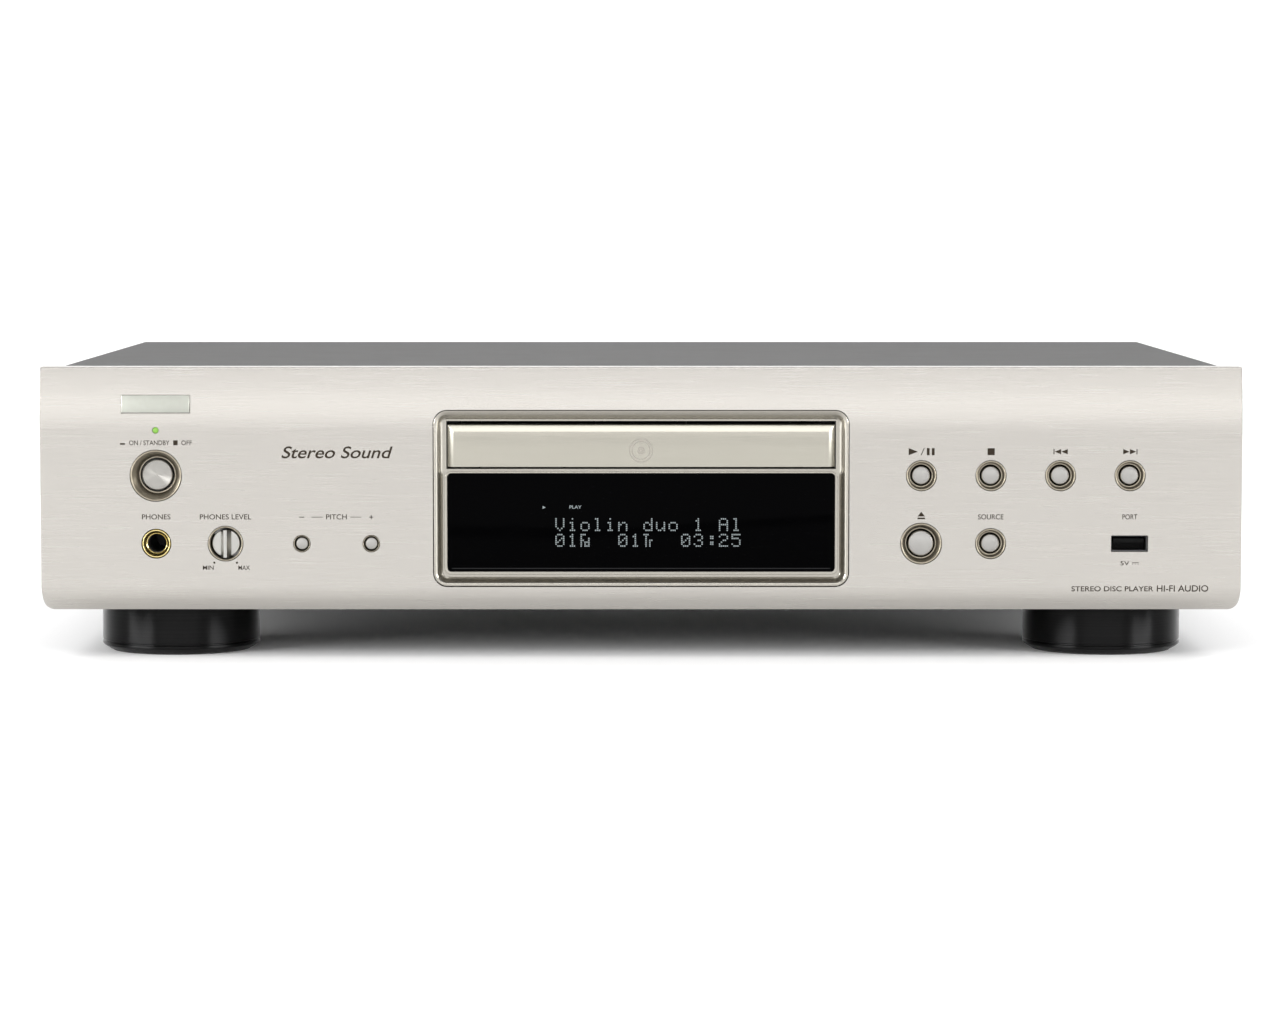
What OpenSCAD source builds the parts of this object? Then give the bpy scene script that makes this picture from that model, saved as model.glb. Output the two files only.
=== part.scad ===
// Tray-loading disc player, full-size hi-fi separate.
// Frame: +X to the right seen from the front, +Y to the rear, +Z up.
// The origin is on the table, under the middle of the whole player.

/* [Case] */
// Width of the front panel
width = 434; // [420:1:525]
// Height from the table to the top of the front panel
height = 107; // [105:1:130]
// Depth from the level knob's grip to the end of the output jacks
depth = 279; // [275:1:340]
// Height of the front panel's lower edge above the table
foot_h = 19; // [15:0.5:24]
// How far the knob's grip stands out of the front panel
knob_proud = 1.5; // [0.5:0.1:4]
// How far the jacks stand out behind the top cover
jack_reach = 11; // [8:0.5:16]
// How far the top cover's sides are set in from the front panel's ends
cover_inset = 5.5; // [4:0.5:8]
// Sheet thickness of the cover, the chassis and the rear panel
sheet = 1; // [0.8:0.1:1.2]
// Diameter of a foot
foot_d = 58.4; // [44:0.2:69]

/* [Front panel] */
// Depth of the panel, front to back
panel_depth = 12; // [10:0.5:16]
// Thickness of its front wall
panel_wall = 4.5; // [4:0.1:6]
// Thickness of its edges
panel_edge = 2.4; // [2:0.1:3]
// Radius of the crowned upper part
crown_r = 104; // [80:1:160]
// Height of the crowned upper part
crown_h = 25; // [15:1:32]
// Radius of the lower edge
chin_r = 12; // [10:0.5:16]
// Height of the rounded lower edge
chin_h = 9; // [6:0.5:9.5]
// Corner radius of the lower corners
corner_r = 4.5; // [2:0.5:7]

/* [Window] */
// Width of the window frame
frame_w = 150; // [148:0.5:152]
// Height of the window frame
frame_h = 63.7; // [62.5:0.1:66]
// Corner radius of the window frame
frame_r = 5; // [3:0.5:8]
// Height of the frame's middle above the panel's lower edge
frame_rise = 40.5; // [39:0.5:44]
// Width of the display window
glass_w = 140; // [120:0.5:141]
// Height of the display window
glass_h = 35.5; // [28:0.5:36]
// Width of the tray door
door_w = 140; // [136:0.5:141]
// Height of the tray door
door_h = 15.4; // [14:0.1:16]
// Thickness of the tray door
door_t = 6; // [5:0.5:7]

/* [Controls] */
// Distance of the outer control columns from the panel's ends
column_in = 41; // [36:0.5:60]
// Spacing of the controls along a row
control_pitch = 25.1; // [22:0.1:26]
// Height of the upper row above the panel's lower edge
upper_rise = 48.8; // [45:0.2:52]
// Height of the lower row above the panel's lower edge
lower_rise = 24.2; // [21:0.2:27]
// Outer radius of the power button's ring
power_ring_r = 9.2; // [8.6:0.1:11]
// Radius of the power button
power_r = 5.4; // [4:0.1:5.8]
// Outer radius of a small button's ring
small_ring_r = 5.4; // [4.8:0.1:6.5]
// Radius of a small button
small_r = 3.3; // [2.4:0.1:3.6]
// Outer radius of the eject button's ring
eject_ring_r = 7.35; // [6:0.1:8.8]
// Radius of the eject button
eject_r = 4.6; // [3.6:0.1:5.4]
// Outer radius of a pitch button's ring
pitch_ring_r = 2.95; // [2.7:0.05:3.6]
// Radius of a pitch button
pitch_r = 2.2; // [1.6:0.1:2.4]
// Radius of the level knob
knob_r = 5; // [4:0.1:5.4]
// Radius of the phones jack's bore, for a 6.35 mm plug
jack_r = 3.25; // [3.2:0.01:3.3]
// Travel of a push button
press = 0.8; // [0.4:0.1:1]
// Travel of the latching power button
power_press = 3; // [2:0.1:3]

/* [Mechanism] */
// Travel of the disc tray
tray_travel = 140; // [120:1:145]
// Width of the disc tray
tray_w = 128; // [126:0.5:130]
// Length of the disc tray behind its door
tray_l = 180; // [172:1:184]
// Diameter of the large disc well
disc_d = 121.6; // [121:0.1:123]
// Distance of the disc's centre behind the front panel's face
disc_back = 78; // [76:0.5:80]
// Angle by which the pickup deck drops when the tray is out
deck_drop = 8; // [6:0.5:9]
// Travel of the pickup sled
sled_travel = 35; // [30:1:36]
// Travel of the cam slider
cam_travel = 20; // [16:1:22]

/* [Clearances] */
// Gap around a piece that is fitted into another
fit = 0.1; // [0.05:0.01:0.3]
// Gap around a button or a sliding piece
slide_gap = 0.3; // [0.2:0.05:0.5]
// Radial gap of a shaft that turns in a bore
run = 0.06; // [0.03:0.01:0.1]
// Backlash of the gear teeth
backlash = 0.24; // [0.1:0.02:0.4]

/* [Hidden] */
$fn = 64;
through = 1; // how far a cut runs past the face it opens

// Case
face_y = -depth / 2 + knob_proud;          // front face of the front panel
rear_y = depth / 2 - jack_reach;           // rear edge of the top cover
pocket_y = face_y + panel_wall;            // back of the panel's front wall
cover_y = face_y + panel_depth + 0.2;      // front edge of the top cover
cover_w = width - 2 * cover_inset;
cover_top = height - 0.2;
cover_low = foot_h + 1;                    // lower edge of the cover, and underside of the chassis
floor_z = cover_low + sheet;               // top of the chassis floor
inner_x = cover_w / 2 - sheet;             // inside of the cover's side walls
plate_y = rear_y - sheet - fit;            // outer face of the rear panel
flange_h = 14;                             // height of the chassis flanges
cover_lip = 9.5;                           // height of the cover's rear lip
crown_z = height - crown_h;
chin_z = foot_h + chin_h;

// Window
frame_z = foot_h + frame_rise;
glass_z = frame_z - frame_h / 2 + 5.4 + glass_h / 2;
glass_r = 1.4;
glass_y = face_y + 1.2;
glass_t = 2.6;
door_z = frame_z + frame_h / 2 - 5.1 - door_h / 2;
door_y = face_y + 1.5;
bevel_h = 2.7;                             // height of the bevel along the door's top
bevel_w = 2.2;                             // width of the bevels at the door's ends
bevel_t = 1.4;                             // depth of the bevels
door_gap = 0.4;                            // gap around the tray door
door_slot = 1;                             // gap above it
lip_w = 2;                                 // width of the frame's outer lip
valley_y = face_y + 3;                     // floor of the hollow inside the lip
bezel_back = pocket_y + 5.5;
sub_t = 3;                                 // thickness of the sub panel
sub_back = pocket_y + sub_t;

// Controls
left_x = -width / 2 + column_in + 0.8;
right_x = width / 2 - column_in + 0.5;
upper_z = foot_h + upper_rise;
lower_z = foot_h + lower_rise;
knob_x = left_x + 25;
pitch_down_x = left_x + 52.6;
pitch_up_x = pitch_down_x + control_pitch;
play_x = right_x - 3 * control_pitch;
stop_x = right_x - 2 * control_pitch;
previous_x = right_x - control_pitch;
led_z = upper_z + 16.4;
badge_z = height - 13.3;
badge_w = 24.6;
badge_h = 6.3;
badge_t = 1;
badge_sink = 0.5;
led_r = 1.1;
nut_r = 5.2;                               // the phones jack's nut
jack_w = 12;                               // its moulded body
usb_w = 13.4;
usb_h = 6;
board_y = face_y + 21;                     // front face of the upright boards
board_t = 1.6;
switch_t = 3.5;                            // body of a tact switch
plunger_t = 1.5;
stem_gap = 0.2;                            // gap left between stem and switch when pressed
stem_end = board_y - switch_t - plunger_t - press - stem_gap;
power_switch_y = face_y + 16;
power_switch_w = 14;
pot_d = 9.5;                               // body of the potentiometer
shaft_r = 3;

// Each push button: x, z, cap radius, ring radius, ring mouth radius, ring depth, cap set-back
small = [small_r, small_ring_r, small_ring_r - 0.5, 3, 1.6];
play = concat([play_x, upper_z], small);
stop = concat([stop_x, upper_z], small);
previous = concat([previous_x, upper_z], small);
next = concat([right_x, upper_z], small);
source = concat([stop_x, lower_z], small);
eject = [play_x, lower_z, eject_r, eject_ring_r, eject_ring_r - 0.55, 3.4, 1.4];
pitch = [pitch_r, pitch_ring_r, pitch_ring_r - 0.2, 1.2, 0.6];
pitch_down = concat([pitch_down_x, lower_z], pitch);
pitch_up = concat([pitch_up_x, lower_z], pitch);
power = [left_x, upper_z, power_r, power_ring_r, power_ring_r - 0.5, 6, 4.8];
push_buttons = [play, stop, previous, next, eject, source, pitch_down, pitch_up];
knob_ring_r = knob_r + 1.25;

// Mechanism, all of it placed from the tray door and the front panel's face
disc_y = face_y + disc_back;
tray_y = door_y + door_t;                  // front end of the tray
tray_z = door_z - door_h / 2 + 4.6;        // underside of the tray
tray_t = 6.5;
well_z = tray_z + 3.5;                     // floor of the large disc well
slot_w = 36;                               // slot for the turntable and the pickup
rail_x = tray_w / 2 + 2;                   // inside of the loader's side walls
rail_t = 5;
loader_y = face_y + 26;
loader_l = 170;
loader_top = tray_z + 12;
beam_t = 3;
gear_x = -tray_w / 2 + 19;                 // axis of the drive gear
gear_y = face_y + 44;
rack_teeth = 18;
step_teeth = 26;
pinion_teeth = 12;
gear_m = 1;                                // module of the loading gears
pulley_y = gear_y + gear_m * (step_teeth + pinion_teeth) / 2;
pulley_r = 16;
belt_r = 14.8;                             // inner radius of the belt on the large pulley
motor_belt_r = 3;                          // inner radius of the belt on the motor pulley
belt_t = 1.2;
motor_y = pulley_y + 36;
axle_r = 2;
gear_plate_z = tray_z - 17.5;              // underside of the plate that carries the gears
gear_plate_t = 2.5;
step_z = tray_z - 7;                       // underside of the lower gears
pulley_z = tray_z - 13;
hinge_y = face_y + 158;                    // pivot of the pickup deck
deck_z = tray_z - 9.5;                     // underside of the deck's plate
deck_t = 3;
hinge_z = deck_z + deck_t / 2;
deck_front = face_y + 48;
deck_left = -28;
deck_right = 46;
pin_x = 8;
pin_z = deck_z - 3;
pin_r = 2;
cam_y = face_y + 36;
cam_t = 4;
cam_arm = hinge_y - cam_y - cam_t / 2;     // from the hinge to the cam slider
cam_fall = cam_arm * sin(deck_drop);
cam_low = pin_z - cam_fall - 7;            // lower edge of the cam slider
rod_x = 20;
rod_z = tray_z - 3.5;
rod_r = 1.5;
lens_y = disc_y + 23;
sled_l = 20;
sled_rack_x = 26;                          // pitch line of the sled's rack
sled_m = 0.8;
sled_teeth = 16;
sled_gear_x = sled_rack_x + sled_m * sled_teeth / 2;
sled_gear_y = face_y + 118;
platter_z = tray_z + 5.8;                  // plane that the disc rests on when it is lifted
platter_r = 15.5;
clamp_z = platter_z + 1.3;
bridge_z = loader_top;

// Rear jacks
inlet_x = left_x + 12;
inlet_z = foot_h + 33;
out_x = right_x;
out_z = [foot_h + 45, foot_h + 27];
digital_x = right_x - 45;
remote_x = digital_x - 32;
rca_r = 4.15;
foot_x = width / 2 - 45.1;
foot_y = [face_y + 51, rear_y - 46];
pad_in = 12;                               // inner and outer radius of the seat for a foot's pad
pad_out = foot_d / 2 - 3.4;
pad_t = 1.7;
screw_seat = 8;                            // height of the seat of a foot's screw
screw_r = 1.5;
side_screw_y = [face_y + 60, rear_y - 50];
side_screw_z = cover_low + 9;
lip_screw_x = [-0.45 * cover_w, 0, 0.45 * cover_w];
lip_screw_z = cover_top - 5;

// Boards on the chassis floor
board_z = floor_z + 9;
side_x = rail_x + rail_t + 14;             // where the floor boards start, beside the loader
board_end = inner_x - 6;

// ---- Helpers ----

// Rounded rectangle centred on the origin.
module rounded(w, h, r) {
    square([w - 2 * r, h], center = true);
    square([w, h - 2 * r], center = true);
    for (x = [-1, 1], z = [-1, 1]) translate([x * (w / 2 - r), z * (h / 2 - r)]) circle(r);
}

// Extrudes a front view drawn in X and Z, from y backwards by t.
module front_view(y, t) {
    translate([0, y + t, 0]) rotate([90, 0, 0]) linear_extrude(t) children();
}

// Extrudes a side view drawn in Y and Z, across the width w.
module side_view(w) {
    rotate([90, 0, 90]) linear_extrude(w, center = true) children();
}

// A rod along Y, from y backwards by t.
module rod(x, z, r, y, t) {
    translate([x, y, z]) rotate([-90, 0, 0]) cylinder(r = r, h = t);
}

// A solid of revolution about the Y axis through x, z. Its outline holds [radius, distance behind y].
module turned(x, z, y, outline) {
    translate([x, y, z]) rotate([-90, 0, 0]) rotate_extrude() polygon(outline);
}

module box(x0, x1, y0, y1, z0, z1) {
    translate([x0, y0, z0]) cube([x1 - x0, y1 - y0, z1 - z0]);
}

// A box between the distances x0 and x1 from the middle, on the left for side -1 or the right for 1.
module side_box(side, x0, x1, y0, y1, z0, z1) {
    box(side > 0 ? x0 : -x1, side > 0 ? x1 : -x0, y0, y1, z0, z1);
}

// Half angle, in degrees, that an involute tooth takes up at radius r.
function involute(r, base) = r <= base ? 0 : tan(acos(base / r)) * 180 / PI - acos(base / r);
function half_tooth(n, m, r) =
    let (pitch = n * m / 2, base = pitch * cos(20))
    90 / n - backlash / 4 / pitch * 180 / PI + involute(pitch, base) - involute(r, base);
function polar(r, a) = [r * cos(a), r * sin(a)];

// Spur gear of n teeth and module m, with a tooth on +X.
module spur(n, m, t, bore) {
    root = n * m / 2 - 1.2 * m;
    tip = n * m / 2 + 0.92 * m;
    base = n * m / 2 * cos(20);
    low = max(base, root + 0.05);
    radii = [for (i = [0:4]) low + (tip - low) * i / 4];
    flank = concat([root], radii);
    points = [for (k = [0:n - 1]) each concat(
        [for (r = flank) polar(r, k * 360 / n - half_tooth(n, m, max(r, base)))],
        [for (i = [len(flank) - 1:-1:0])
            polar(flank[i], k * 360 / n + half_tooth(n, m, max(flank[i], base)))]
    )];
    difference() {
        linear_extrude(t) polygon(points);
        translate([0, 0, -through]) cylinder(r = bore, h = t + 2 * through);
    }
}

// Rack along Y with its pitch line on X = 0, teeth towards +X, and a gap between two teeth at Y = 0.
module rack(first, last, m, t, back) {
    pitch = PI * m;
    half = pitch / 4 - backlash / 4;
    top = half - 0.92 * m * tan(20);
    foot = half + 1.2 * m * tan(20);
    linear_extrude(t) polygon(concat(
        [[-back, (last + 1) * pitch], [-back, first * pitch]],
        [[-1.2 * m, first * pitch]],
        [for (k = [first:last]) each [
            [-1.2 * m, (k + 0.5) * pitch - foot], [0.92 * m, (k + 0.5) * pitch - top],
            [0.92 * m, (k + 0.5) * pitch + top], [-1.2 * m, (k + 0.5) * pitch + foot]
        ]],
        [[-1.2 * m, (last + 1) * pitch]]
    ));
}

// ---- Case ----

module panel_outline() {
    translate([face_y, chin_z]) square([panel_depth, crown_z - chin_z]);
    intersection() {
        translate([face_y, crown_z]) square([panel_depth, crown_h]);
        translate([face_y + crown_r, crown_z]) circle(crown_r, $fn = 200);
    }
    intersection() {
        translate([face_y, foot_h]) square([panel_depth, chin_h]);
        translate([face_y + chin_r, chin_z]) circle(chin_r);
    }
}

module panel_front() {
    translate([-width / 2, foot_h + corner_r]) square([width, height - foot_h - corner_r]);
    translate([-width / 2 + corner_r, foot_h]) square([width - 2 * corner_r, 2 * corner_r]);
    for (x = [-1, 1]) translate([x * (width / 2 - corner_r), foot_h + corner_r]) circle(corner_r);
}

// Holes that the panel and the sub panel share, each larger than what passes through it by gap.
module control_holes(gap) {
    translate([left_x, upper_z]) circle(power_ring_r + gap);
    translate([left_x, lower_z]) circle(nut_r + gap);
    translate([knob_x, lower_z]) circle(knob_ring_r + gap);
    translate([left_x, led_z]) circle(led_r + gap);
    for (b = push_buttons) translate([b[0], b[1]]) circle(b[3] + gap);
    translate([right_x, lower_z]) square([usb_w, usb_h], center = true);
}

// The badge lies in a shallow pocket, tilted with the crown of the panel.
module badge_place() {
    tilt = asin((badge_z - crown_z) / crown_r);
    sag = crown_r * (1 - cos(tilt));
    translate([left_x, face_y + sag, badge_z]) rotate([-tilt, 0, 0]) children();
}

module front_panel() color("antiquewhite") difference() {
    intersection() {
        side_view(width) panel_outline();
        front_view(face_y, panel_depth) panel_front();
    }
    box(-width / 2 + panel_edge, width / 2 - panel_edge, pocket_y, face_y + panel_depth + through,
        foot_h + panel_edge, height - panel_edge);
    front_view(face_y - through, panel_wall + 2 * through) {
        control_holes(fit);
        translate([0, frame_z]) rounded(frame_w + 2 * fit, frame_h + 2 * fit, frame_r + fit);
    }
    badge_place() translate([0, badge_sink / 2, 0])
        cube([badge_w + 2 * fit, badge_sink + 0.001, badge_h + 2 * fit], center = true);
    badge_place() translate([0, -badge_t, 0])
        cube([badge_w + 2 * fit, 2 * badge_t, badge_h + 2 * fit], center = true);
}

module badge_plate() color("gainsboro") badge_place()
    translate([0, badge_sink - badge_t / 2, 0]) cube([badge_w, badge_t, badge_h], center = true);

// Moulded carrier behind the panel: a plate with a rim, opened for the tray and the display.
module sub_panel() color("dimgray") {
    gap = 0.3;
    w = width - 2 * panel_edge - 2 * gap;
    z0 = foot_h + panel_edge + gap;
    z1 = height - panel_edge - gap;
    difference() {
        union() {
            box(-w / 2, w / 2, pocket_y, sub_back, z0, z1);
            for (z = [z0, z1 - 2]) box(-w / 2, w / 2, sub_back, face_y + panel_depth, z, z + 2);
            for (x = [-w / 2, w / 2 - 2]) box(x, x + 2, sub_back, face_y + panel_depth, z0, z1);
        }
        front_view(pocket_y - through, sub_t + 2 * through) {
            control_holes(fit);
            translate([0, frame_z]) rounded(frame_w - 2, frame_h - 2, frame_r);
        }
    }
}

module chassis_base() color("silver") difference() {
    union() {
        box(-inner_x + 0.2, inner_x - 0.2, cover_y + 1, plate_y - sheet - fit, cover_low, floor_z);
        for (x = [-inner_x + 0.2, inner_x - 0.2 - sheet])
            box(x, x + sheet, cover_y + 1, plate_y - sheet - fit, floor_z, floor_z + flange_h);
        box(-inner_x + 0.2 + sheet, inner_x - 0.2 - sheet, cover_y + 1, cover_y + 1 + sheet, floor_z,
            floor_z + flange_h);
    }
    at_feet() translate([0, 0, cover_low - through]) cylinder(r = axle_r + 0.2, h = sheet + 2 * through);
    for (y = side_screw_y) translate([0, y, side_screw_z]) rotate([0, 90, 0])
        cylinder(r = screw_r + fit, h = cover_w, center = true);
    // Ventilation slots under the power supply and the main board.
    for (side = [-1, 1], k = [0:9])
        translate([side * (side_x + 40), disc_y + 30 + 8 * k, cover_low + sheet / 2])
            cube([44, 3, 3 * sheet], center = true);
}

module cover_outline(w, top, r) {
    intersection() {
        translate([0, (cover_low + top) / 2]) rounded(w, top - cover_low, r);
        translate([-w / 2, cover_low + r]) square([w, top - cover_low]);
    }
    translate([-w / 2, cover_low]) square([w, 2 * r]);
}

module top_cover() color("gray") difference() {
    union() {
        front_view(cover_y, rear_y - cover_y) difference() {
            cover_outline(cover_w, cover_top, 2);
            difference() {
                translate([0, -sheet]) cover_outline(cover_w - 2 * sheet, cover_top, 1);
                translate([-cover_w / 2, cover_top - sheet]) square([cover_w, sheet]);
            }
            translate([-inner_x, cover_low - sheet]) square([2 * inner_x, 3 * sheet]);
        }
        box(-inner_x, inner_x, rear_y - sheet, rear_y, cover_top - cover_lip, cover_top - sheet);
    }
    for (y = side_screw_y) translate([0, y, side_screw_z]) rotate([0, 90, 0])
        cylinder(r = screw_r + fit, h = cover_w + 2 * through, center = true);
    for (x = lip_screw_x) rod(x, lip_screw_z, screw_r + fit, rear_y - 2 * sheet, 3 * sheet);
}

module rear_panel() color("silver") difference() {
    box(-inner_x + 0.3, inner_x - 0.3, plate_y - sheet, plate_y, cover_low, cover_top - sheet - 0.3);
    for (x = lip_screw_x) rod(x, lip_screw_z, screw_r + fit, plate_y - 2 * sheet, 3 * sheet);
    front_view(plate_y - 2 * sheet, 3 * sheet) {
        translate([inlet_x, inlet_z]) square([27.4, 20.4], center = true);
        for (z = out_z) translate([out_x, z]) circle(5.3 + fit);
        translate([digital_x, out_z[1]]) circle(5.3 + fit);
        translate([digital_x, out_z[0]]) square([10.4, 10.4], center = true);
        for (z = out_z) translate([remote_x, z]) circle(3.9 + fit);
        // Louvres above the power supply.
        for (k = [0:11]) translate([inlet_x + 42 + 7 * k, foot_h + 56]) square([3, 26], center = true);
    }
}

// ---- Window ----

module bezel_block(y, t, w, h, r) {
    front_view(y, t) translate([0, frame_z]) rounded(w, h, r);
}

// Frame with a raised lip and a hollow floor, a bar above the glass, and a step that enters the sub panel.
module window_bezel() color("tan") difference() {
    union() {
        difference() {
            bezel_block(face_y, panel_wall, frame_w, frame_h, frame_r);
            bezel_block(face_y - through, valley_y - face_y + through, frame_w - 2 * lip_w,
                frame_h - 2 * lip_w, frame_r - lip_w);
        }
        bezel_block(pocket_y, bezel_back - pocket_y, frame_w - 2 - 2 * fit, frame_h - 2 - 2 * fit,
            frame_r - fit);
        front_view(glass_y, valley_y - glass_y) translate([0, glass_z])
            rounded(glass_w + 2.4, glass_h + 2.4, glass_r + 1.2);
    }
    front_view(face_y - through, panel_depth) translate([0, glass_z])
        rounded(glass_w - 6, glass_h - 6, glass_r);
    translate([0, face_y + panel_depth / 2, door_z + (door_slot - door_gap) / 2])
        cube([door_w + 2 * door_gap, panel_depth + 2 * through, door_h + door_slot + door_gap], center = true);
    front_view(glass_y - through, glass_t + through) translate([0, glass_z])
        rounded(glass_w + 2 * fit, glass_h + 2 * fit, glass_r + fit);
}

module display_window() color("black") front_view(glass_y, glass_t) translate([0, glass_z])
    rounded(glass_w, glass_h, glass_r);

// Vacuum display: a glass box with two end seals and a row of pins down to the board.
module display_tube() color("darkslategray") {
    tube_w = 104;
    y0 = bezel_back + 0.5;
    y1 = y0 + 6;
    z0 = glass_z - 12;
    box(-tube_w / 2, tube_w / 2, y0, y1, z0, z0 + 24);
    for (k = [0:25]) box(-50 + 4 * k - 0.3, -50 + 4 * k + 0.3, y1, board_y, z0 + 1, z0 + 1.6);
}

// ---- Front controls ----

// Ring with a conical recess; the outline is a closed loop of [radius, depth].
module ring(b) {
    bore = b[2] + 0.25;
    lip = min(bore + 0.5, b[4]);
    turned(b[0], b[1], face_y, [
        [b[3], 0.3], [b[3] - 0.2, 0], [b[4], 0], [lip, b[5]], [bore, b[5]], [bore, sub_back - face_y],
        [b[3], sub_back - face_y]
    ]);
}

module control_rings() color("rosybrown") {
    ring(power);
    for (b = push_buttons) ring(b);
    turned(knob_x, lower_z, face_y, [
        [knob_ring_r, 0.2], [knob_ring_r - 0.15, 0], [knob_ring_r - 0.25, 0], [knob_r + 0.6, 0.6],
        [knob_r + 0.6, sub_back - face_y], [knob_ring_r, sub_back - face_y]
    ]);
}

// Push button: a domed cap, a guide behind it and a stem that ends in front of its switch.
module push_button(b, end) {
    dome = 3 * b[2];
    color("lightgray") intersection() {
        translate([b[0], face_y + b[6] + dome, b[1]]) sphere(dome, $fn = 96);
        rod(b[0], b[1], b[2], face_y + b[6] - 1, sub_back + 2 - face_y - b[6] + 1);
    }
    color("lightgray") rod(b[0], b[1], min(b[2], 1.8), sub_back + 2, end - sub_back - 2);
}

module play_button() push_button(play, stem_end);
module stop_button() push_button(stop, stem_end);
module previous_button() push_button(previous, stem_end);
module next_button() push_button(next, stem_end);
module eject_button() push_button(eject, stem_end);
module source_button() push_button(source, stem_end);
module pitch_down_button() push_button(pitch_down, stem_end);
module pitch_up_button() push_button(pitch_up, stem_end);
module power_button() color("lightgray") {
    rod(left_x, upper_z, power_r, face_y + power[6], 6);
    rod(left_x, upper_z, 3, face_y + power[6] + 6, power_switch_y - face_y - power[6] - 6 - 1.2);
}

module level_knob() color("lightgray") {
    top = face_y + 2;
    rod(knob_x, lower_z, knob_r, top, sub_back - top + 1);
    // Grip bar across the face, with a ridge along its middle.
    intersection() {
        translate([knob_x, top, lower_z]) rotate([0, 0, 180]) linear_extrude(2 * knob_r, center = true)
            polygon([[-2.2, 0], [-0.5, 2 + knob_proud], [0.5, 2 + knob_proud], [2.2, 0]]);
        rod(knob_x, lower_z, knob_r, face_y - knob_proud - through, 2 + knob_proud + 2 * through);
    }
    rod(knob_x, lower_z, shaft_r, sub_back + 1, board_y - pot_d - sub_back + 1);
}

module power_led() color("limegreen") {
    rod(left_x, led_z, led_r, face_y, sub_back + 0.5 - face_y);
    rod(left_x, led_z, led_r + 0.4, sub_back + 0.5, 3);
}

module headphone_jack_nut() color("gold") turned(left_x, lower_z, face_y, [
    [nut_r, 0.4], [nut_r - 0.3, 0], [nut_r - 0.5, 0], [nut_r - 1.6, 2.2], [jack_r + 0.2, 2.4],
    [jack_r + 0.2, panel_wall - 0.2], [nut_r, panel_wall - 0.2]
]);

module headphone_jack() color("black") difference() {
    union() {
        rod(left_x, lower_z, nut_r - 0.2, pocket_y, sub_t);
        translate([left_x, (sub_back + face_y + 33) / 2, lower_z])
            cube([jack_w, face_y + 33 - sub_back, jack_w], center = true);
    }
    rod(left_x, lower_z, jack_r, pocket_y - through, 26);
}

module usb_socket() color("darkgray") {
    translate([right_x, 0, lower_z]) {
        difference() {
            box(-6.55, 6.55, face_y + 2.5, face_y + 16.5, -2.85, 2.85);
            box(-6.2, 6.2, face_y + 2.5 - through, face_y + 15.5, -2.5, 2.5);
        }
        box(-5.5, 5.5, face_y + 4, face_y + 15.5, -0.1, 1.7);
        box(-6.2, 6.2, face_y + 16.5, board_y, -1, 1);
    }
}

// Upright boards: one behind the display and the right-hand keys, one behind the left-hand controls.
module front_boards() color("darkgreen") {
    y1 = board_y + board_t;
    box(-frame_w / 2 + 4, play_x - 18, board_y, y1, foot_h + 7, glass_z + 15);
    box(play_x - 18, width / 2 - 12, board_y, y1, foot_h + 7, upper_z + 12);
    difference() {
        box(-width / 2 + 12, -frame_w / 2 - 6, board_y, y1, foot_h + 7, upper_z + 20);
        for (cut = [[lower_z, jack_w], [upper_z, power_switch_w]]) translate([left_x, board_y, cut[0]])
            cube([cut[1] + 2 * fit, 4 * board_t, cut[1] + 2 * fit], center = true);
    }
}

module tact_switches() color("black") for (b = push_buttons) translate([b[0], 0, b[1]]) {
    box(-3, 3, board_y - switch_t, board_y, -3, 3);
    rod(0, 0, 1.6, board_y - switch_t - plunger_t, plunger_t);
}

// Potentiometer, with the bush that the knob's shaft turns in.
module level_potentiometer() color("slategray") difference() {
    union() {
        box(knob_x - 5, knob_x + 5, board_y - pot_d, board_y, lower_z - 5.5, lower_z + 5.5);
        rod(knob_x, lower_z, 4.2, board_y - pot_d - 2, 2);
    }
    rod(knob_x, lower_z, shaft_r + run, board_y - pot_d - 2 - through, 6);
}

// Power switch, passing through the board and held to its front by a flange.
module power_switch() color("ivory") {
    w = power_switch_w;
    translate([left_x, power_switch_y + 12, upper_z]) cube([w, 24, w], center = true);
    translate([left_x, board_y - 0.6, upper_z]) cube([w + 6, 1.2, w + 6], center = true);
}

// ---- Feet ----

module at_feet() for (x = [-foot_x, foot_x], y = foot_y) translate([x, y, 0]) children();

// Cup, hollow from above around the boss of its screw, with a seat for the pad underneath.
module foot_cups() color("black") at_feet() rotate_extrude($fn = 96) {
    r = foot_d / 2;
    polygon([
        [r - 2.4, 0.7], [r, 2.3], [r, 3.3], [r - 0.4, 3.5], [r - 0.4, 3.9], [r, 4.1], [r, cover_low],
        [r - 2.2, cover_low], [r - 2.2, 5.5], [11, 5.5], [11, cover_low], [axle_r + 0.2, cover_low],
        [axle_r + 0.2, screw_seat], [7.5, screw_seat], [7.5, 0.7], [pad_in, 0.7], [pad_in, pad_t],
        [pad_out, pad_t], [pad_out, 0.7]
    ]);
}

module foot_pads() color("dimgray") at_feet() rotate_extrude($fn = 96)
    polygon([[pad_in + fit, 0], [pad_out - fit, 0], [pad_out - fit, pad_t], [pad_in + fit, pad_t]]);

module foot_screws() color("silver") at_feet() difference() {
    rotate_extrude() polygon([
        [0, 5.6], [3, 5.6], [3.8, 6.6], [3.8, screw_seat], [axle_r, screw_seat], [axle_r, floor_z + 3],
        [0, floor_z + 3]
    ]);
    translate([0, 0, 5]) cube([4, 0.9, 2.6], center = true);
    translate([0, 0, 5]) cube([0.9, 4, 2.6], center = true);
}

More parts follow.
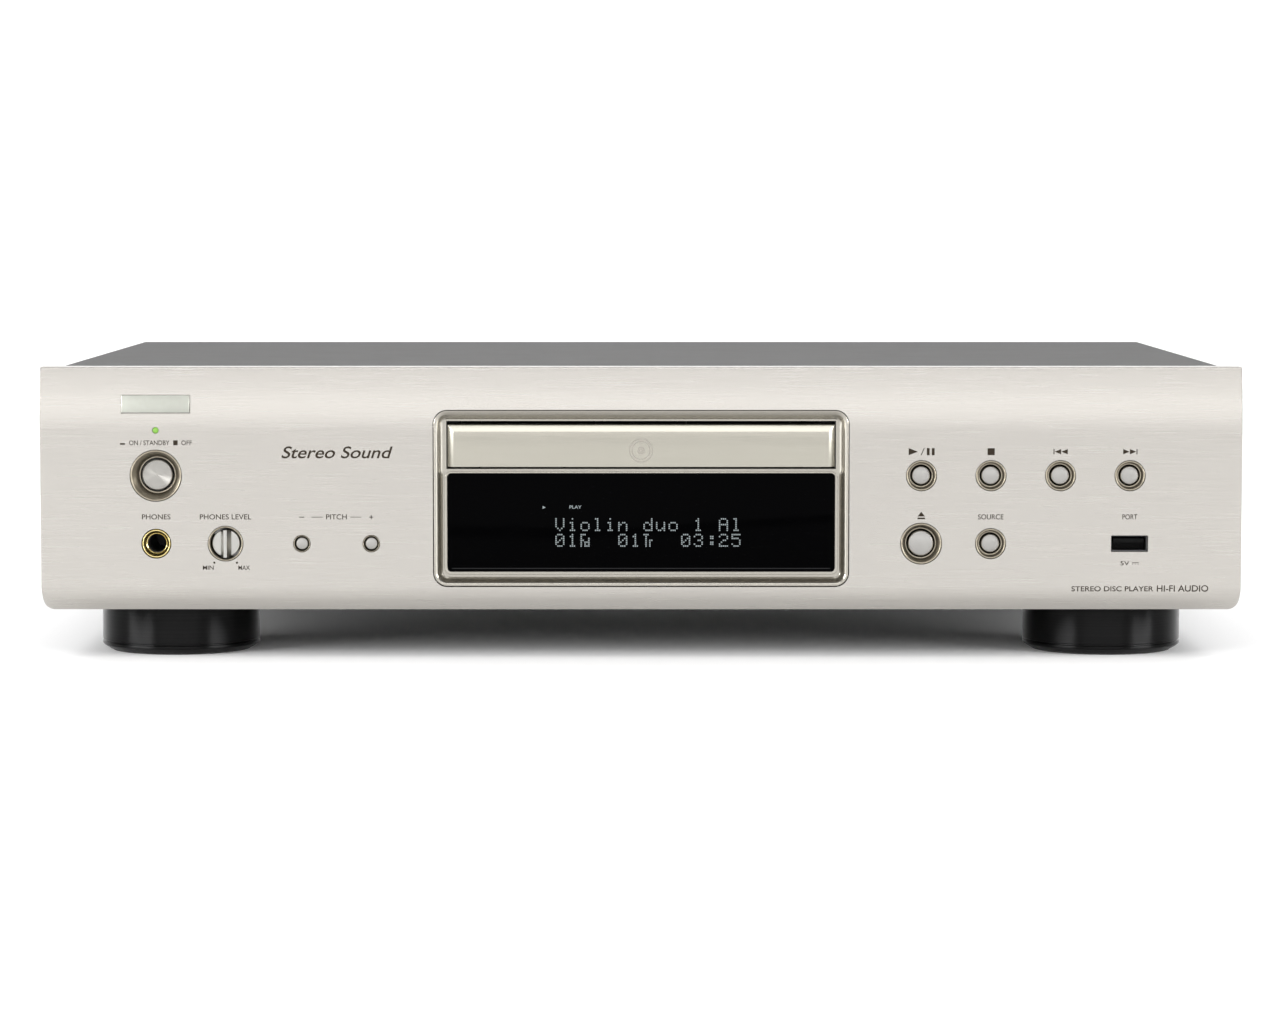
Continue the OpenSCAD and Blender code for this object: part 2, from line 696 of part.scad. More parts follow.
// Pan-head screw along +Z with the seat of its head on Z = 0, and a cross recess.
module screw(length) difference() {
    union() {
        translate([0, 0, -length]) cylinder(r = screw_r, h = length);
        rotate_extrude() polygon([[0, 0], [3.1, 0], [3.1, 0.9], [2.2, 1.8], [0, 1.8]]);
    }
    translate([0, 0, 1.8]) cube([3.2, 0.7, 1.4], center = true);
    translate([0, 0, 1.8]) cube([0.7, 3.2, 1.4], center = true);
}

module case_screws() color("dimgray") {
    for (side = [-1, 1], y = side_screw_y)
        translate([side * cover_w / 2, y, side_screw_z]) rotate([0, side * 90, 0]) screw(6);
    for (x = lip_screw_x) translate([x, rear_y, lip_screw_z]) rotate([-90, 0, 0]) screw(6);
}

// ---- Rear jacks ----

module power_inlet() color("black") {
    translate([inlet_x, 0, inlet_z]) {
        difference() {
            union() {
                box(-13.6, 13.6, plate_y - 20, plate_y, -10.1, 10.1);
                box(-16, 16, plate_y, plate_y + 2.5, -12.5, 12.5);
            }
            front_view(plate_y - 15, 20) difference() {
                square([24.4, 16.8], center = true);
                for (x = [-1, 1]) translate([x * 12.2, 8.4]) rotate(45) square(6, center = true);
            }
        }
        for (x = [-7, 7]) box(x - 1, x + 1, plate_y - 15, plate_y - 0.5, -3.2, 0.8);
    }
}

module rca_jack_shells() color("gold") {
    for (p = [[out_x, out_z[0]], [out_x, out_z[1]], [digital_x, out_z[1]]])
        turned(p[0], p[1], plate_y + 2, [
            [rca_r, 0], [rca_r, depth / 2 - plate_y - 2.4], [rca_r - 0.4, depth / 2 - plate_y - 2],
            [1.7, depth / 2 - plate_y - 2], [1.7, 0]
        ]);
}

module rca_jack_block() color("whitesmoke") {
    for (p = [[out_x, out_z[0]], [out_x, out_z[1]], [digital_x, out_z[1]]]) {
        rod(p[0], p[1], 5.3, plate_y - sheet, sheet + 2);
    }
    box(out_x - 8, out_x + 8, plate_y - 16, plate_y - sheet, board_z + board_t, out_z[0] + 8);
    box(digital_x - 8, digital_x + 8, plate_y - 16, plate_y - sheet, board_z + board_t, out_z[1] + 8);
}

module optical_jack() color("black") translate([digital_x, 0, out_z[0]]) difference() {
    box(-5, 5, plate_y - 12, plate_y + 2, -5, 5);
    box(-3.6, 3.6, plate_y - 8, plate_y + 2 + through, -3.6, 3.6);
}

module remote_jacks() color("black") for (z = out_z) difference() {
    union() {
        rod(remote_x, z, 3.9, plate_y - sheet, sheet + 1.6);
        box(remote_x - 4.5, remote_x + 4.5, plate_y - 14, plate_y - sheet, z - 4.5, z + 4.5);
    }
    rod(remote_x, z, 1.8, plate_y - 11, 20);
}

// ---- Electronics ----

module transformer() translate([-(side_x + board_end) / 2 - 4, rear_y - 62, board_z + board_t]) {
    color("darkgray") difference() {
        box(-27, 27, -16, 16, 0, 46);
        box(-18, -9, -16 - through, 16 + through, 9, 37);
        box(9, 18, -16 - through, 16 + through, 9, 37);
    }
    color("gold") difference() {
        box(-17.5, 17.5, -24, 24, 9.5, 36.5);
        box(-9.2, 9.2, -16.2, 16.2, 9.5 - through, 36.5 + through);
        box(-18, 18, -16.2, -15.8, 9, 9.2);
    }
}

module power_board() color("darkgreen") {
    box(-board_end, -side_x, cover_y + 40, rear_y - 30, board_z, board_z + board_t);
    for (x = [-board_end + 5, -side_x - 5], y = [cover_y + 46, rear_y - 36]) translate([x, y, floor_z])
        cylinder(r = 3, h = board_z - floor_z);
    for (x = [-side_x - 14, -side_x - 30], y = [cover_y + 62, cover_y + 82])
        translate([x, y, board_z + board_t]) cylinder(r = 6.5, h = 25);
}

module main_board() color("darkgreen") {
    box(side_x, board_end, cover_y + 60, plate_y - 4, board_z, board_z + board_t);
    for (x = [side_x + 5, board_end - 5], y = [cover_y + 66, plate_y - 40]) translate([x, y, floor_z])
        cylinder(r = 3, h = board_z - floor_z);
}

module main_board_parts() color("dimgray") translate([side_x, cover_y + 60, board_z + board_t]) {
    box(20, 40, 30, 50, 0, 1.6);
    box(55, 69, 26, 40, 0, 1.4);
    box(60, 68, 60, 74, 0, 2);
    for (x = [12:12:84], y = [84, 98]) translate([x, y, 0]) cylinder(r = 4, h = 12);
    box(74, 84, 8, 24, 0, 7);
}

// Flat cables: each is a strip that follows straight runs with square bends.
module ribbon_cables() color("lightgray") {
    t = 0.5;
    z = board_z + board_t;
    x = side_x + 10;
    y = cover_y + 66;
    // Main board to front board.
    box(x, x + 24, y, y + t, z, z + 18);
    box(x, x + 24, board_y + board_t + 4, y, z + 18 - t, z + 18);
    box(x, x + 24, board_y + board_t + 4, board_y + board_t + 4 + t, z + 18, z + 24);
    box(x, x + 24, board_y + board_t, board_y + board_t + 4 + t, z + 24, z + 24 + t);
    // Main board to the loader.
    box(x - 6, x - 6 + t, y + 30, y + 46, z, z + 12);
    box(rail_x + rail_t, x - 6, y + 30, y + 46, z + 12, z + 12 + t);
}

// ---- Disc mechanism ----

// Moulded frame: side walls with rails, cross walls, a gear plate with its axles, and deck pivots.
module loader_frame() color("darkslategray") {
    x1 = rail_x + rail_t;
    y1 = loader_y + loader_l;
    difference() {
        union() {
            for (side = [-1, 1]) {
                side_box(side, rail_x, x1, loader_y, y1, floor_z, loader_top);
                // Rail under the tray's edge, and hooks over it.
                side_box(side, rail_x - 6, rail_x, loader_y, y1, tray_z - 3, tray_z - slide_gap);
                for (y = [loader_y + 4, loader_y + 60])
                    side_box(side, rail_x - 5, rail_x, y, y + 10, tray_z + tray_t + slide_gap,
                        tray_z + tray_t + 2.3);
                // Mounting ears on the chassis floor.
                for (y = [loader_y, y1 - 12]) side_box(side, x1, x1 + 12, y, y + 12, floor_z, floor_z + 3);
            }
            box(-rail_x, rail_x, cam_y - slide_gap - beam_t, cam_y - slide_gap, floor_z, cam_low + 5);
            // Channel that the cam slider runs in.
            box(pin_x - cam_travel - 12, pin_x + cam_travel + 12, cam_y - slide_gap,
                cam_y + cam_t + slide_gap + 2, cam_low - slide_gap - 2, cam_low - slide_gap);
            box(pin_x - cam_travel - 12, pin_x + cam_travel + 12, cam_y + cam_t + slide_gap,
                cam_y + cam_t + slide_gap + 2, cam_low - slide_gap - 2, cam_low + 5);
            box(-rail_x, rail_x, y1 - beam_t, y1, floor_z, tray_z - 4);
            box(-rail_x, gear_x + 15.5, gear_y - 18, motor_y + 13, gear_plate_z,
                gear_plate_z + gear_plate_t);
            translate([gear_x, gear_y, gear_plate_z]) cylinder(r = 2.5, h = step_z - 0.2 - gear_plate_z);
            translate([gear_x, gear_y, gear_plate_z]) cylinder(r = axle_r, h = tray_z - 0.2 - gear_plate_z);
            translate([gear_x, pulley_y, gear_plate_z]) cylinder(r = 3, h = pulley_z - 0.2 - gear_plate_z);
            translate([gear_x, pulley_y, gear_plate_z]) cylinder(r = axle_r, h = step_z + 3 - gear_plate_z);
        }
        // Pivot holes for the deck.
        translate([0, hinge_y, hinge_z]) rotate([0, 90, 0])
            cylinder(r = axle_r + run, h = 2 * x1 + 2 * through, center = true);
        // Clearance around the loading motor's boss.
        translate([gear_x, motor_y, gear_plate_z - through])
            cylinder(r = 3.2, h = gear_plate_t + 2 * through);
    }
}

module clamper_bridge() color("silver") difference() {
    box(-rail_x - rail_t, rail_x + rail_t, disc_y - 17, disc_y + 17, bridge_z, bridge_z + 1.5);
    translate([0, disc_y, bridge_z - through]) cylinder(r = 8.5, h = 4);
    for (x = [-46, 46]) translate([x, disc_y, bridge_z]) cube([30, 16, 6], center = true);
}

module clamper() color("black") translate([0, disc_y, 0]) difference() {
    rotate_extrude() polygon([
        [0, clamp_z + 3.2], [8, clamp_z + 3.2], [8, clamp_z], [14, clamp_z], [14, clamp_z + 2.6],
        [7.6, clamp_z + 3.4], [7.6, bridge_z + 2.2], [11.5, bridge_z + 2.2], [11.5, bridge_z + 3.7],
        [0, bridge_z + 3.7]
    ]);
    translate([0, 8.5, bridge_z + 3.7]) cube([3, 3, 1], center = true);
}

module loader_motor() color("silver") translate([gear_x, motor_y, 0]) {
    translate([0, 0, gear_plate_z - 20]) cylinder(r = 10, h = 20);
    translate([0, 0, gear_plate_z]) cylinder(r = 3, h = 1.2);
    translate([0, 0, gear_plate_z]) cylinder(r = 1, h = pulley_z + 3.8 - gear_plate_z);
}

module motor_pulley() color("ivory") translate([gear_x, motor_y, pulley_z]) rotate_extrude() polygon([
    [1 + run, 0], [4.2, 0], [4.2, 0.8], [motor_belt_r - 0.25, 1.2], [motor_belt_r - 0.25, 2.8], [4.2, 3.2],
    [4.2, 4], [1 + run, 4]
]);

module belt_outline(d) hull() {
    translate([gear_x, pulley_y]) circle(belt_r + d);
    translate([gear_x, motor_y]) circle(motor_belt_r + d, $fn = 32);
}

module drive_belt() color("black") translate([0, 0, pulley_z + 2 - belt_t / 2])
    linear_extrude(belt_t) difference() {
        belt_outline(belt_t);
        belt_outline(0);
    }

module pulley_gear() color("ivory") translate([gear_x, pulley_y, 0]) {
    translate([0, 0, pulley_z]) rotate_extrude($fn = 96) polygon([
        [axle_r + run, 0], [pulley_r, 0], [pulley_r, 0.8], [belt_r - 0.25, 1.2], [belt_r - 0.25, 2.8],
        [pulley_r, 3.2], [pulley_r, 4], [4.5, 4], [4.5, step_z - pulley_z], [axle_r + run, step_z - pulley_z]
    ]);
    translate([0, 0, step_z]) spur(pinion_teeth, gear_m, 3, axle_r + run);
}

module drive_gear() color("white") translate([gear_x, gear_y, 0]) {
    translate([0, 0, step_z]) spur(step_teeth, gear_m, 3, axle_r + run);
    translate([0, 0, step_z + 3]) difference() {
        cylinder(r = 7, h = 1.1);
        translate([0, 0, -through]) cylinder(r = axle_r + run, h = 4);
    }
    translate([0, 0, step_z + 4.1]) spur(rack_teeth, gear_m, 2.5, axle_r + run);
}

// Tray: a plate with two disc wells, a slot open to the rear, and a rack under its left edge.
module disc_tray() color("dimgray") {
    y1 = tray_y + tray_l;
    difference() {
        box(-tray_w / 2, tray_w / 2, tray_y, y1, tray_z, tray_z + tray_t);
        translate([0, disc_y, well_z]) cylinder(r = disc_d / 2, h = tray_t, $fn = 128);
        translate([0, disc_y, well_z - 1.2]) cylinder(r = 40.8, h = tray_t, $fn = 96);
        translate([0, disc_y, tray_z - through]) cylinder(r = slot_w / 2, h = tray_t + 2 * through);
        box(-slot_w / 2, slot_w / 2, disc_y, y1 + through, tray_z - through, tray_z + tray_t + through);
        // Finger scoops at the sides of the well.
        for (side = [-1, 1]) translate([side * disc_d / 2, disc_y, well_z]) cylinder(r = 14, h = tray_t);
        // Lightening pocket at the rear of each leg.
        for (side = [-1, 1]) translate([side * 41, y1 - 22, well_z - 1.2 + tray_t / 2])
            cube([34, 30, tray_t], center = true);
    }
    pitch = PI * gear_m;
    translate([gear_x - gear_m * rack_teeth / 2, gear_y, tray_z - 3])
        rack(-floor((gear_y - tray_y - 2) / pitch), ceil((tray_travel + 3) / pitch) - 1, gear_m, 3, 4);
}

// Door: a block clipped to the tray's front end, with its top edge and both its ends bevelled.
module tray_door() color("tan") {
    low = door_z - door_h / 2;
    top = low + door_h;
    difference() {
        box(-door_w / 2, door_w / 2, door_y, door_y + door_t, low, top);
        side_view(door_w + 2 * through) polygon([
            [door_y - through, top - bevel_h - bevel_h / bevel_t * through], [door_y + bevel_t, top],
            [door_y + bevel_t, top + through], [door_y - through, top + through]
        ]);
        for (side = [-1, 1]) translate([side * door_w / 2, door_y, low - through])
            linear_extrude(door_h + 2 * through) polygon([
                [-side * bevel_w * (1 + through / bevel_t), -through], [0, bevel_t],
                [side * through, bevel_t], [side * through, -through]
            ]);
    }
}

module cam_slider() color("ivory") {
    length = norm([cam_travel, cam_fall]);
    angle = atan(cam_fall / cam_travel);
    difference() {
        box(pin_x - cam_travel - 7, pin_x + 7, cam_y, cam_y + cam_t, cam_low, pin_z + 5);
        translate([pin_x, cam_y - through, pin_z]) rotate([-90, 0, 0]) rotate([0, 0, -angle]) {
            cylinder(r = pin_r + 0.7, h = cam_t + 2 * through);
            translate([-length, 0, 0]) cylinder(r = pin_r + 0.7, h = cam_t + 2 * through);
            translate([-length, -pin_r - 0.7, 0]) cube([length, 2 * pin_r + 1.4, cam_t + 2 * through]);
        }
    }
}

// Pickup deck: a plate hinged at its rear, with brackets for the guide rods and a pin for the cam.
module deck_frame() color("darkgray") {
    z1 = deck_z + deck_t;
    difference() {
        union() {
            box(deck_left, deck_right, deck_front, hinge_y + 6, deck_z, z1);
            box(-rail_x + 2, rail_x - 2, hinge_y - 6, hinge_y + 6, deck_z, z1);
            for (side = [-1, 1], y = [disc_y - 16, hinge_y - 8])
                box(side * rod_x - 3.5, side * rod_x + 3.5, y, y + 4, z1, rod_z + 2.5);
            box(pin_x - 4, pin_x + 4, deck_front, deck_front + 3, pin_z - 4, deck_z);
            rod(pin_x, pin_z, pin_r, cam_y - 0.5, deck_front - cam_y + 0.5);
            for (side = [-1, 1]) translate([side * (rail_x - 2), hinge_y, hinge_z])
                rotate([0, side * 90, 0]) cylinder(r = axle_r, h = rail_t + 1);
        }
        translate([0, disc_y, deck_z - through]) cylinder(r = 12.5 + fit, h = deck_t + 2 * through);
        box(-16, 16, lens_y - sled_l / 2 - 2, hinge_y - 9, deck_z - through, z1 + through);
        for (side = [-1, 1]) rod(side * rod_x, rod_z, rod_r + 0.04, disc_y - 17, hinge_y - disc_y + 20);
        translate([sled_gear_x, sled_gear_y, deck_z - through]) cylinder(r = 2.2, h = deck_t + 2 * through);
    }
}

module guide_rods() color("silver") for (side = [-1, 1])
    rod(side * rod_x, rod_z, rod_r, disc_y - 16, hinge_y - disc_y + 12);

// Spindle motor, through the deck, and sled motor, under it.
module deck_motors() color("gray") {
    translate([0, disc_y, deck_z - 8]) cylinder(r = 12.5, h = 12);
    translate([0, disc_y, deck_z + 4]) cylinder(r = 1, h = 11);
    translate([sled_gear_x, sled_gear_y, deck_z - 14]) cylinder(r = 8, h = 14);
    translate([sled_gear_x, sled_gear_y, deck_z]) cylinder(r = 1, h = 7);
}

module turntable() color("black") translate([0, disc_y, 0]) rotate_extrude() polygon([
    [1 + run, deck_z + 5], [5, deck_z + 5], [5, platter_z - 3], [platter_r, platter_z - 2.4],
    [platter_r, platter_z], [7.5, platter_z], [7.3, platter_z + 1.2], [5.5, platter_z + 2.5],
    [1 + run, platter_z + 2.5]
]);

// Sled: a body on the guide rods, the turret that holds the lens, and a rack on its right side.
module pickup_sled() color("darkgray") {
    z0 = deck_z + 4;
    y0 = lens_y - sled_l / 2;
    difference() {
        union() {
            box(-24, 24, y0, y0 + sled_l, z0, rod_z + 2.5);
            box(-10, 10, y0 + 1, y0 + sled_l - 1, rod_z + 2.5, platter_z - 3);
            box(15.5, 24, y0 + sled_l / 2 - 5, y0 + sled_l / 2 + 5, z0 - 0.4, z0);
        }
        for (side = [-1, 1]) rod(side * rod_x, rod_z, rod_r + run, y0 - through, sled_l + 2 * through);
        translate([0, lens_y, z0 + 2]) cylinder(r = 4, h = 20);
    }
    pitch = PI * sled_m;
    teeth = ceil((sled_travel + 3) / pitch) + 1;
    translate([sled_rack_x, sled_gear_y, z0]) rack(-teeth, 1, sled_m, 2.2, 2);
    box(23, sled_rack_x - 1.2 * sled_m, sled_gear_y - teeth * pitch, y0, z0, z0 + 2.2);
}

module objective_lens() color("lightblue") translate([0, lens_y, 0]) rotate_extrude() polygon([
    [0, platter_z - 5], [3.4, platter_z - 5], [3.4, platter_z - 2.8], [2.4, platter_z - 2.4],
    [1.4, platter_z - 1.95], [0, platter_z - 1.8]
]);

module sled_gear() color("white") translate([sled_gear_x, sled_gear_y, deck_z + 4])
    spur(sled_teeth, sled_m, 2.2, 1 + run);

chassis_base();
rear_panel();
top_cover();
front_panel();
sub_panel();
window_bezel();
display_window();
badge_plate();
power_led();
control_rings();
headphone_jack();
headphone_jack_nut();
usb_socket();
display_tube();
front_boards();
tact_switches();
level_potentiometer();
power_switch();
foot_cups();
foot_pads();
foot_screws();
case_screws();
power_inlet();
rca_jack_shells();
rca_jack_block();
optical_jack();
remote_jacks();
transformer();
power_board();
main_board();
main_board_parts();
ribbon_cables();
loader_frame();
clamper_bridge();
loader_motor();
drive_belt();
clamper();
motor_pulley();
pulley_gear();
drive_gear();
disc_tray();
tray_door();
cam_slider();
deck_frame();
deck_motors();
guide_rods();
turntable();
pickup_sled();
objective_lens();
sled_gear();
power_button();
play_button();
stop_button();
previous_button();
next_button();
eject_button();
source_button();
pitch_down_button();
pitch_up_button();
level_knob();
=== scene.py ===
"""Looks of the tray-loading disc player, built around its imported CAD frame.

Everything is in metres, in the frame of the part: +X right seen from the front, +Y to the rear, +Z up.
"""

import math

import bmesh
import bpy
from mathutils import Matrix, Vector


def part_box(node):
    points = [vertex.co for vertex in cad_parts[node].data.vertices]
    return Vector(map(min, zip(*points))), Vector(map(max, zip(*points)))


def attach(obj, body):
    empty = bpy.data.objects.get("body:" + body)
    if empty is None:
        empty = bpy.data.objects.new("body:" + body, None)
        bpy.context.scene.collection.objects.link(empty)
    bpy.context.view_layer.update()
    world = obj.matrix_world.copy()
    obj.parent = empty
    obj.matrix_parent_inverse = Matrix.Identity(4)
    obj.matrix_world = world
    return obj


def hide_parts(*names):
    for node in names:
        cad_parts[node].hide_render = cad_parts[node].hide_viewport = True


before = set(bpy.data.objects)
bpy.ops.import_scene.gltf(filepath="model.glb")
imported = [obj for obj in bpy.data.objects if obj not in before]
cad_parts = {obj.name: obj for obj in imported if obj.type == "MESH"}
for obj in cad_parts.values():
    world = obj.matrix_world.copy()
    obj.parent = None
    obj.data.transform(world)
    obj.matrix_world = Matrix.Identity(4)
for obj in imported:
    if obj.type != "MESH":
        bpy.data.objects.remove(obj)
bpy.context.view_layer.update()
MM = 0.001

# ---- Sizes, all taken from the frame ----

panel_low, panel_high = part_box("front_panel")
cover_low, cover_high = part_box("top_cover")
bezel_low, bezel_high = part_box("window_bezel")
glass_low, glass_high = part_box("display_window")
door_low, door_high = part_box("tray_door")
FACE = panel_low.y
FLOOR = panel_low.z
TOP = panel_high.z
HALF_W = panel_high.x
PANEL_DEPTH = panel_high.y - panel_low.y
PANEL_WALL = 4.5 * MM
PANEL_EDGE = 2.4 * MM  # thickness of the panel's rim, which runs back from its face
CROWN_R = 104 * MM  # the panel's face curves back above CROWN_Z
CROWN_Z = TOP - 25 * MM
CHIN_R = 12 * MM  # and below CHIN_Z
CHIN_Z = FLOOR + 9 * MM
CORNER_R = 4.5 * MM
FIT = 0.1 * MM
SEAM = 0.22 * MM  # dark line round each fitting in the panel
PRINT = 0.012 * MM  # how far printed ink stands off a surface


def middle(node):
    low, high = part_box(node)
    return (low + high) / 2


POWER = middle("power_button")
LEFT_X = POWER.x
UPPER_Z = POWER.z
LOWER_Z = middle("level_knob").z
KNOB_X = middle("level_knob").x
RIGHT_X = middle("next_button").x
LAMP = middle("power_led")

# ---- Camera ----

VIEW_DISTANCE = 1.506
VIEW_HEIGHT = 0.1687
VIEW_SIDE = -0.0004
VIEW_PITCH = math.radians(4.33)
camera_data = bpy.data.cameras.new("camera")
camera_data.lens = 117.6
camera_data.sensor_width = 36
camera = bpy.data.objects.new("camera", camera_data)
camera.location = (VIEW_SIDE, FACE - VIEW_DISTANCE, VIEW_HEIGHT)
camera.rotation_euler = (math.pi / 2 - VIEW_PITCH, 0, 0)
bpy.context.scene.collection.objects.link(camera)
bpy.context.scene.camera = camera

# ---- Materials ----


class Shader:
    """A Principled material with helpers that build its procedural nodes."""

    def __init__(self, name, color, rough, metal=0.0, **inputs):
        self.material = bpy.data.materials.new(name)
        self.material.use_nodes = True
        self.nodes = self.material.node_tree.nodes
        self.links = self.material.node_tree.links
        self.bsdf = self.nodes["Principled BSDF"]
        self.set("Base Color", (*color, 1))
        self.set("Roughness", rough)
        self.set("Metallic", metal)
        for key, value in inputs.items():
            self.set(key.replace("_", " "), value)
        self.place = self.nodes.new("ShaderNodeTexCoord").outputs["Object"]

    def set(self, socket, value):
        self.bsdf.inputs[socket].default_value = value

    def stretched(self, scale):
        """The object's own coordinates, scaled per axis."""
        mapping = self.nodes.new("ShaderNodeMapping")
        mapping.inputs["Scale"].default_value = scale
        self.links.new(self.place, mapping.inputs["Vector"])
        return mapping.outputs["Vector"]

    def noise(self, scale, detail=2.0, rough=0.5, vector=None):
        """Noise of about the given number of grains to a metre."""
        node = self.nodes.new("ShaderNodeTexNoise")
        node.inputs["Scale"].default_value = scale
        node.inputs["Detail"].default_value = detail
        node.inputs["Roughness"].default_value = rough
        self.links.new(vector or self.place, node.inputs["Vector"])
        return node.outputs["Fac"]

    def spread(self, value, low, high):
        """Maps 0.3..0.7, where noise mostly lies, to low..high."""
        node = self.nodes.new("ShaderNodeMapRange")
        node.inputs["From Min"].default_value = 0.3
        node.inputs["From Max"].default_value = 0.7
        node.inputs["To Min"].default_value = low
        node.inputs["To Max"].default_value = high
        self.links.new(value, node.inputs["Value"])
        return node.outputs["Result"]

    def tint(self, value, dark, light):
        """Base colour between dark and light by value."""
        node = self.nodes.new("ShaderNodeMix")
        node.data_type = "RGBA"
        node.inputs["A"].default_value = (*dark, 1)
        node.inputs["B"].default_value = (*light, 1)
        self.links.new(value, node.inputs["Factor"])
        self.links.new(node.outputs["Result"], self.bsdf.inputs["Base Color"])

    def roughen(self, value):
        self.links.new(value, self.bsdf.inputs["Roughness"])

    def bump(self, value, height, strength=1.0):
        """Bump of the given height in metres."""
        node = self.nodes.new("ShaderNodeBump")
        node.inputs["Strength"].default_value = strength
        node.inputs["Distance"].default_value = height
        self.links.new(value, node.inputs["Height"])
        self.links.new(node.outputs["Normal"], self.bsdf.inputs["Normal"])


def shade(color, amount):
    """The colour made lighter or darker."""
    return tuple(c * amount for c in color)


def brushed(name, color, rough, lines=(45, 45, 2600), height=0.0000004, metal=0.85):
    """Metal brushed along X: short fine streaks, whose lines lists the noise per metre along each axis."""
    m = Shader(name, color, rough, metal)
    streaks = m.noise(1.0, 3.0, 0.6, m.stretched(lines))
    m.tint(m.spread(streaks, 0, 1), shade(color, 0.965), shade(color, 1.03))
    m.roughen(m.spread(streaks, rough - 0.02, rough + 0.02))
    m.bump(streaks, height)
    return m.material


def moulded(name, color, rough, grain=2500, height=0.00001, drift=0.04, **inputs):
    """Moulded plastic or paint: a fine even grain and a slow drift of gloss."""
    m = Shader(name, color, rough, **inputs)
    fine = m.noise(grain, 2.0)
    m.bump(fine, height, 0.5)
    m.roughen(m.spread(m.noise(60, 3.0), rough - drift, rough + drift))
    return m.material


def satin_metal(name, color, rough, metal=1.0, grain=4000, height=0.000001):
    """Bead-blasted metal."""
    m = Shader(name, color, rough, metal)
    fine = m.noise(grain, 3.0)
    m.bump(fine, height, 0.6)
    m.tint(m.spread(m.noise(400, 2.0), 0, 1), shade(color, 0.97), shade(color, 1.02))
    return m.material


def spun(name, color, rough, centre, metal=1.0, pitch=9000, height=0.000004):
    """Metal turned about an axis along Y through centre: fine circular lines."""
    m = Shader(name, color, rough, metal, Anisotropic=0.9, Anisotropic_Rotation=0.25)
    tangent = m.nodes.new("ShaderNodeTangent")
    tangent.direction_type, tangent.axis = "RADIAL", "Y"
    m.links.new(tangent.outputs["Tangent"], m.bsdf.inputs["Tangent"])
    shift = m.nodes.new("ShaderNodeVectorMath")
    shift.operation = "SUBTRACT"
    shift.inputs[1].default_value = centre
    m.links.new(m.place, shift.inputs[0])
    flat = m.nodes.new("ShaderNodeVectorMath")
    flat.operation = "MULTIPLY"
    flat.inputs[1].default_value = (1, 0, 1)
    m.links.new(shift.outputs["Vector"], flat.inputs[0])
    length = m.nodes.new("ShaderNodeVectorMath")
    length.operation = "LENGTH"
    m.links.new(flat.outputs["Vector"], length.inputs[0])
    lines = m.nodes.new("ShaderNodeTexNoise")
    lines.noise_dimensions = "1D"
    lines.inputs["Scale"].default_value = pitch
    lines.inputs["Detail"].default_value = 3
    m.links.new(length.outputs["Value"], lines.inputs["W"])
    m.bump(lines.outputs["Fac"], height)
    m.roughen(m.spread(lines.outputs["Fac"], rough - 0.05, rough + 0.05))
    return m.material


def turned(name, color, rough, across=0.25):
    """Gloss finish with fine turning marks, which spread a highlight along Z and keep it narrow across."""
    m = Shader(name, color, rough, 1.0, Anisotropic=0.95, Anisotropic_Rotation=across)
    marks = m.noise(1.0, 2.0, 0.5, m.stretched((1, 1, 2600)))
    m.tint(m.spread(marks, 0, 1), shade(color, 0.85), shade(color, 1.15))
    return m.material


SMOOTH = 0.000001  # grain of a surface that looks polished
panel_metal = brushed("panel_metal", (0.412, 0.394, 0.368), 0.26, metal=0.95)
bezel_satin = satin_metal("bezel_satin", (0.35, 0.332, 0.295), 0.26, 0.97)
door_satin = brushed("door_satin", (0.36, 0.345, 0.30), 0.24, metal=0.97)
ring_satin = satin_metal("ring_satin", (0.30, 0.268, 0.21), 0.37, 0.97)
cap_satin = satin_metal("cap_satin", (0.315, 0.308, 0.295), 0.33, 0.97, height=0.0000002)
knob_satin = satin_metal("knob_satin", (0.40, 0.395, 0.375), 0.28, 0.97)
badge_metal = satin_metal("badge_metal", (0.36, 0.367, 0.33), 0.34, 0.97)
cover_paint = moulded("cover_paint", (0.034, 0.033, 0.032), 0.5, grain=1800, height=0.00003, drift=0.008,
                      Specular_IOR_Level=0.1)
chassis_paint = moulded("chassis_paint", (0.03, 0.03, 0.031), 0.5, height=0.00003)
sheet_zinc = satin_metal("sheet_zinc", (0.55, 0.56, 0.57), 0.40, 0.9, grain=900, height=0.000006)
window_gloss = moulded("window_gloss", (0.0005, 0.0005, 0.0006), 0.07, height=SMOOTH,
                       Specular_IOR_Level=0.008)
window_line = moulded("window_line", (0.010, 0.010, 0.0105), 0.5, height=SMOOTH, Specular_IOR_Level=0.1)
black_plastic = moulded("black_plastic", (0.016, 0.016, 0.017), 0.45, height=0.00002)
tray_plastic = moulded("tray_plastic", (0.030, 0.030, 0.032), 0.42, height=0.00002)
white_plastic = moulded("white_plastic", (0.68, 0.67, 0.63), 0.40)
deck_grey = moulded("deck_grey", (0.13, 0.13, 0.135), 0.45, height=0.00002)
foot_gloss = turned("foot_gloss", (0.015, 0.015, 0.0152), 0.37)
foot_rubber = moulded("foot_rubber", (0.020, 0.020, 0.020), 0.75, height=0.00004)
screw_black = satin_metal("screw_black", (0.07, 0.07, 0.072), 0.32, 0.9)
gold = satin_metal("gold", (0.66, 0.55, 0.25), 0.24)
board_green = moulded("board_green", (0.012, 0.075, 0.035), 0.30, grain=600, height=0.00004)
chip_black = moulded("chip_black", (0.020, 0.020, 0.022), 0.55)
steel = satin_metal("steel", (0.55, 0.55, 0.56), 0.25)
# The port's carrier and tongue: real black plastic, made darker still as painted shade inside the port.
port_black_and_painted_shade = moulded("port_black_and_painted_shade", (0.002, 0.002, 0.002), 0.4, Specular_IOR_Level=0.08)
# The port's steel shell, coloured far darker than steel as painted shade inside the port.
port_steel_painted_shade = satin_metal("port_steel_painted_shade", (0.09, 0.09, 0.093), 0.3)
cable_white = moulded("cable_white", (0.60, 0.60, 0.58), 0.45)
tube_glass = moulded("tube_glass", (0.03, 0.045, 0.045), 0.08)
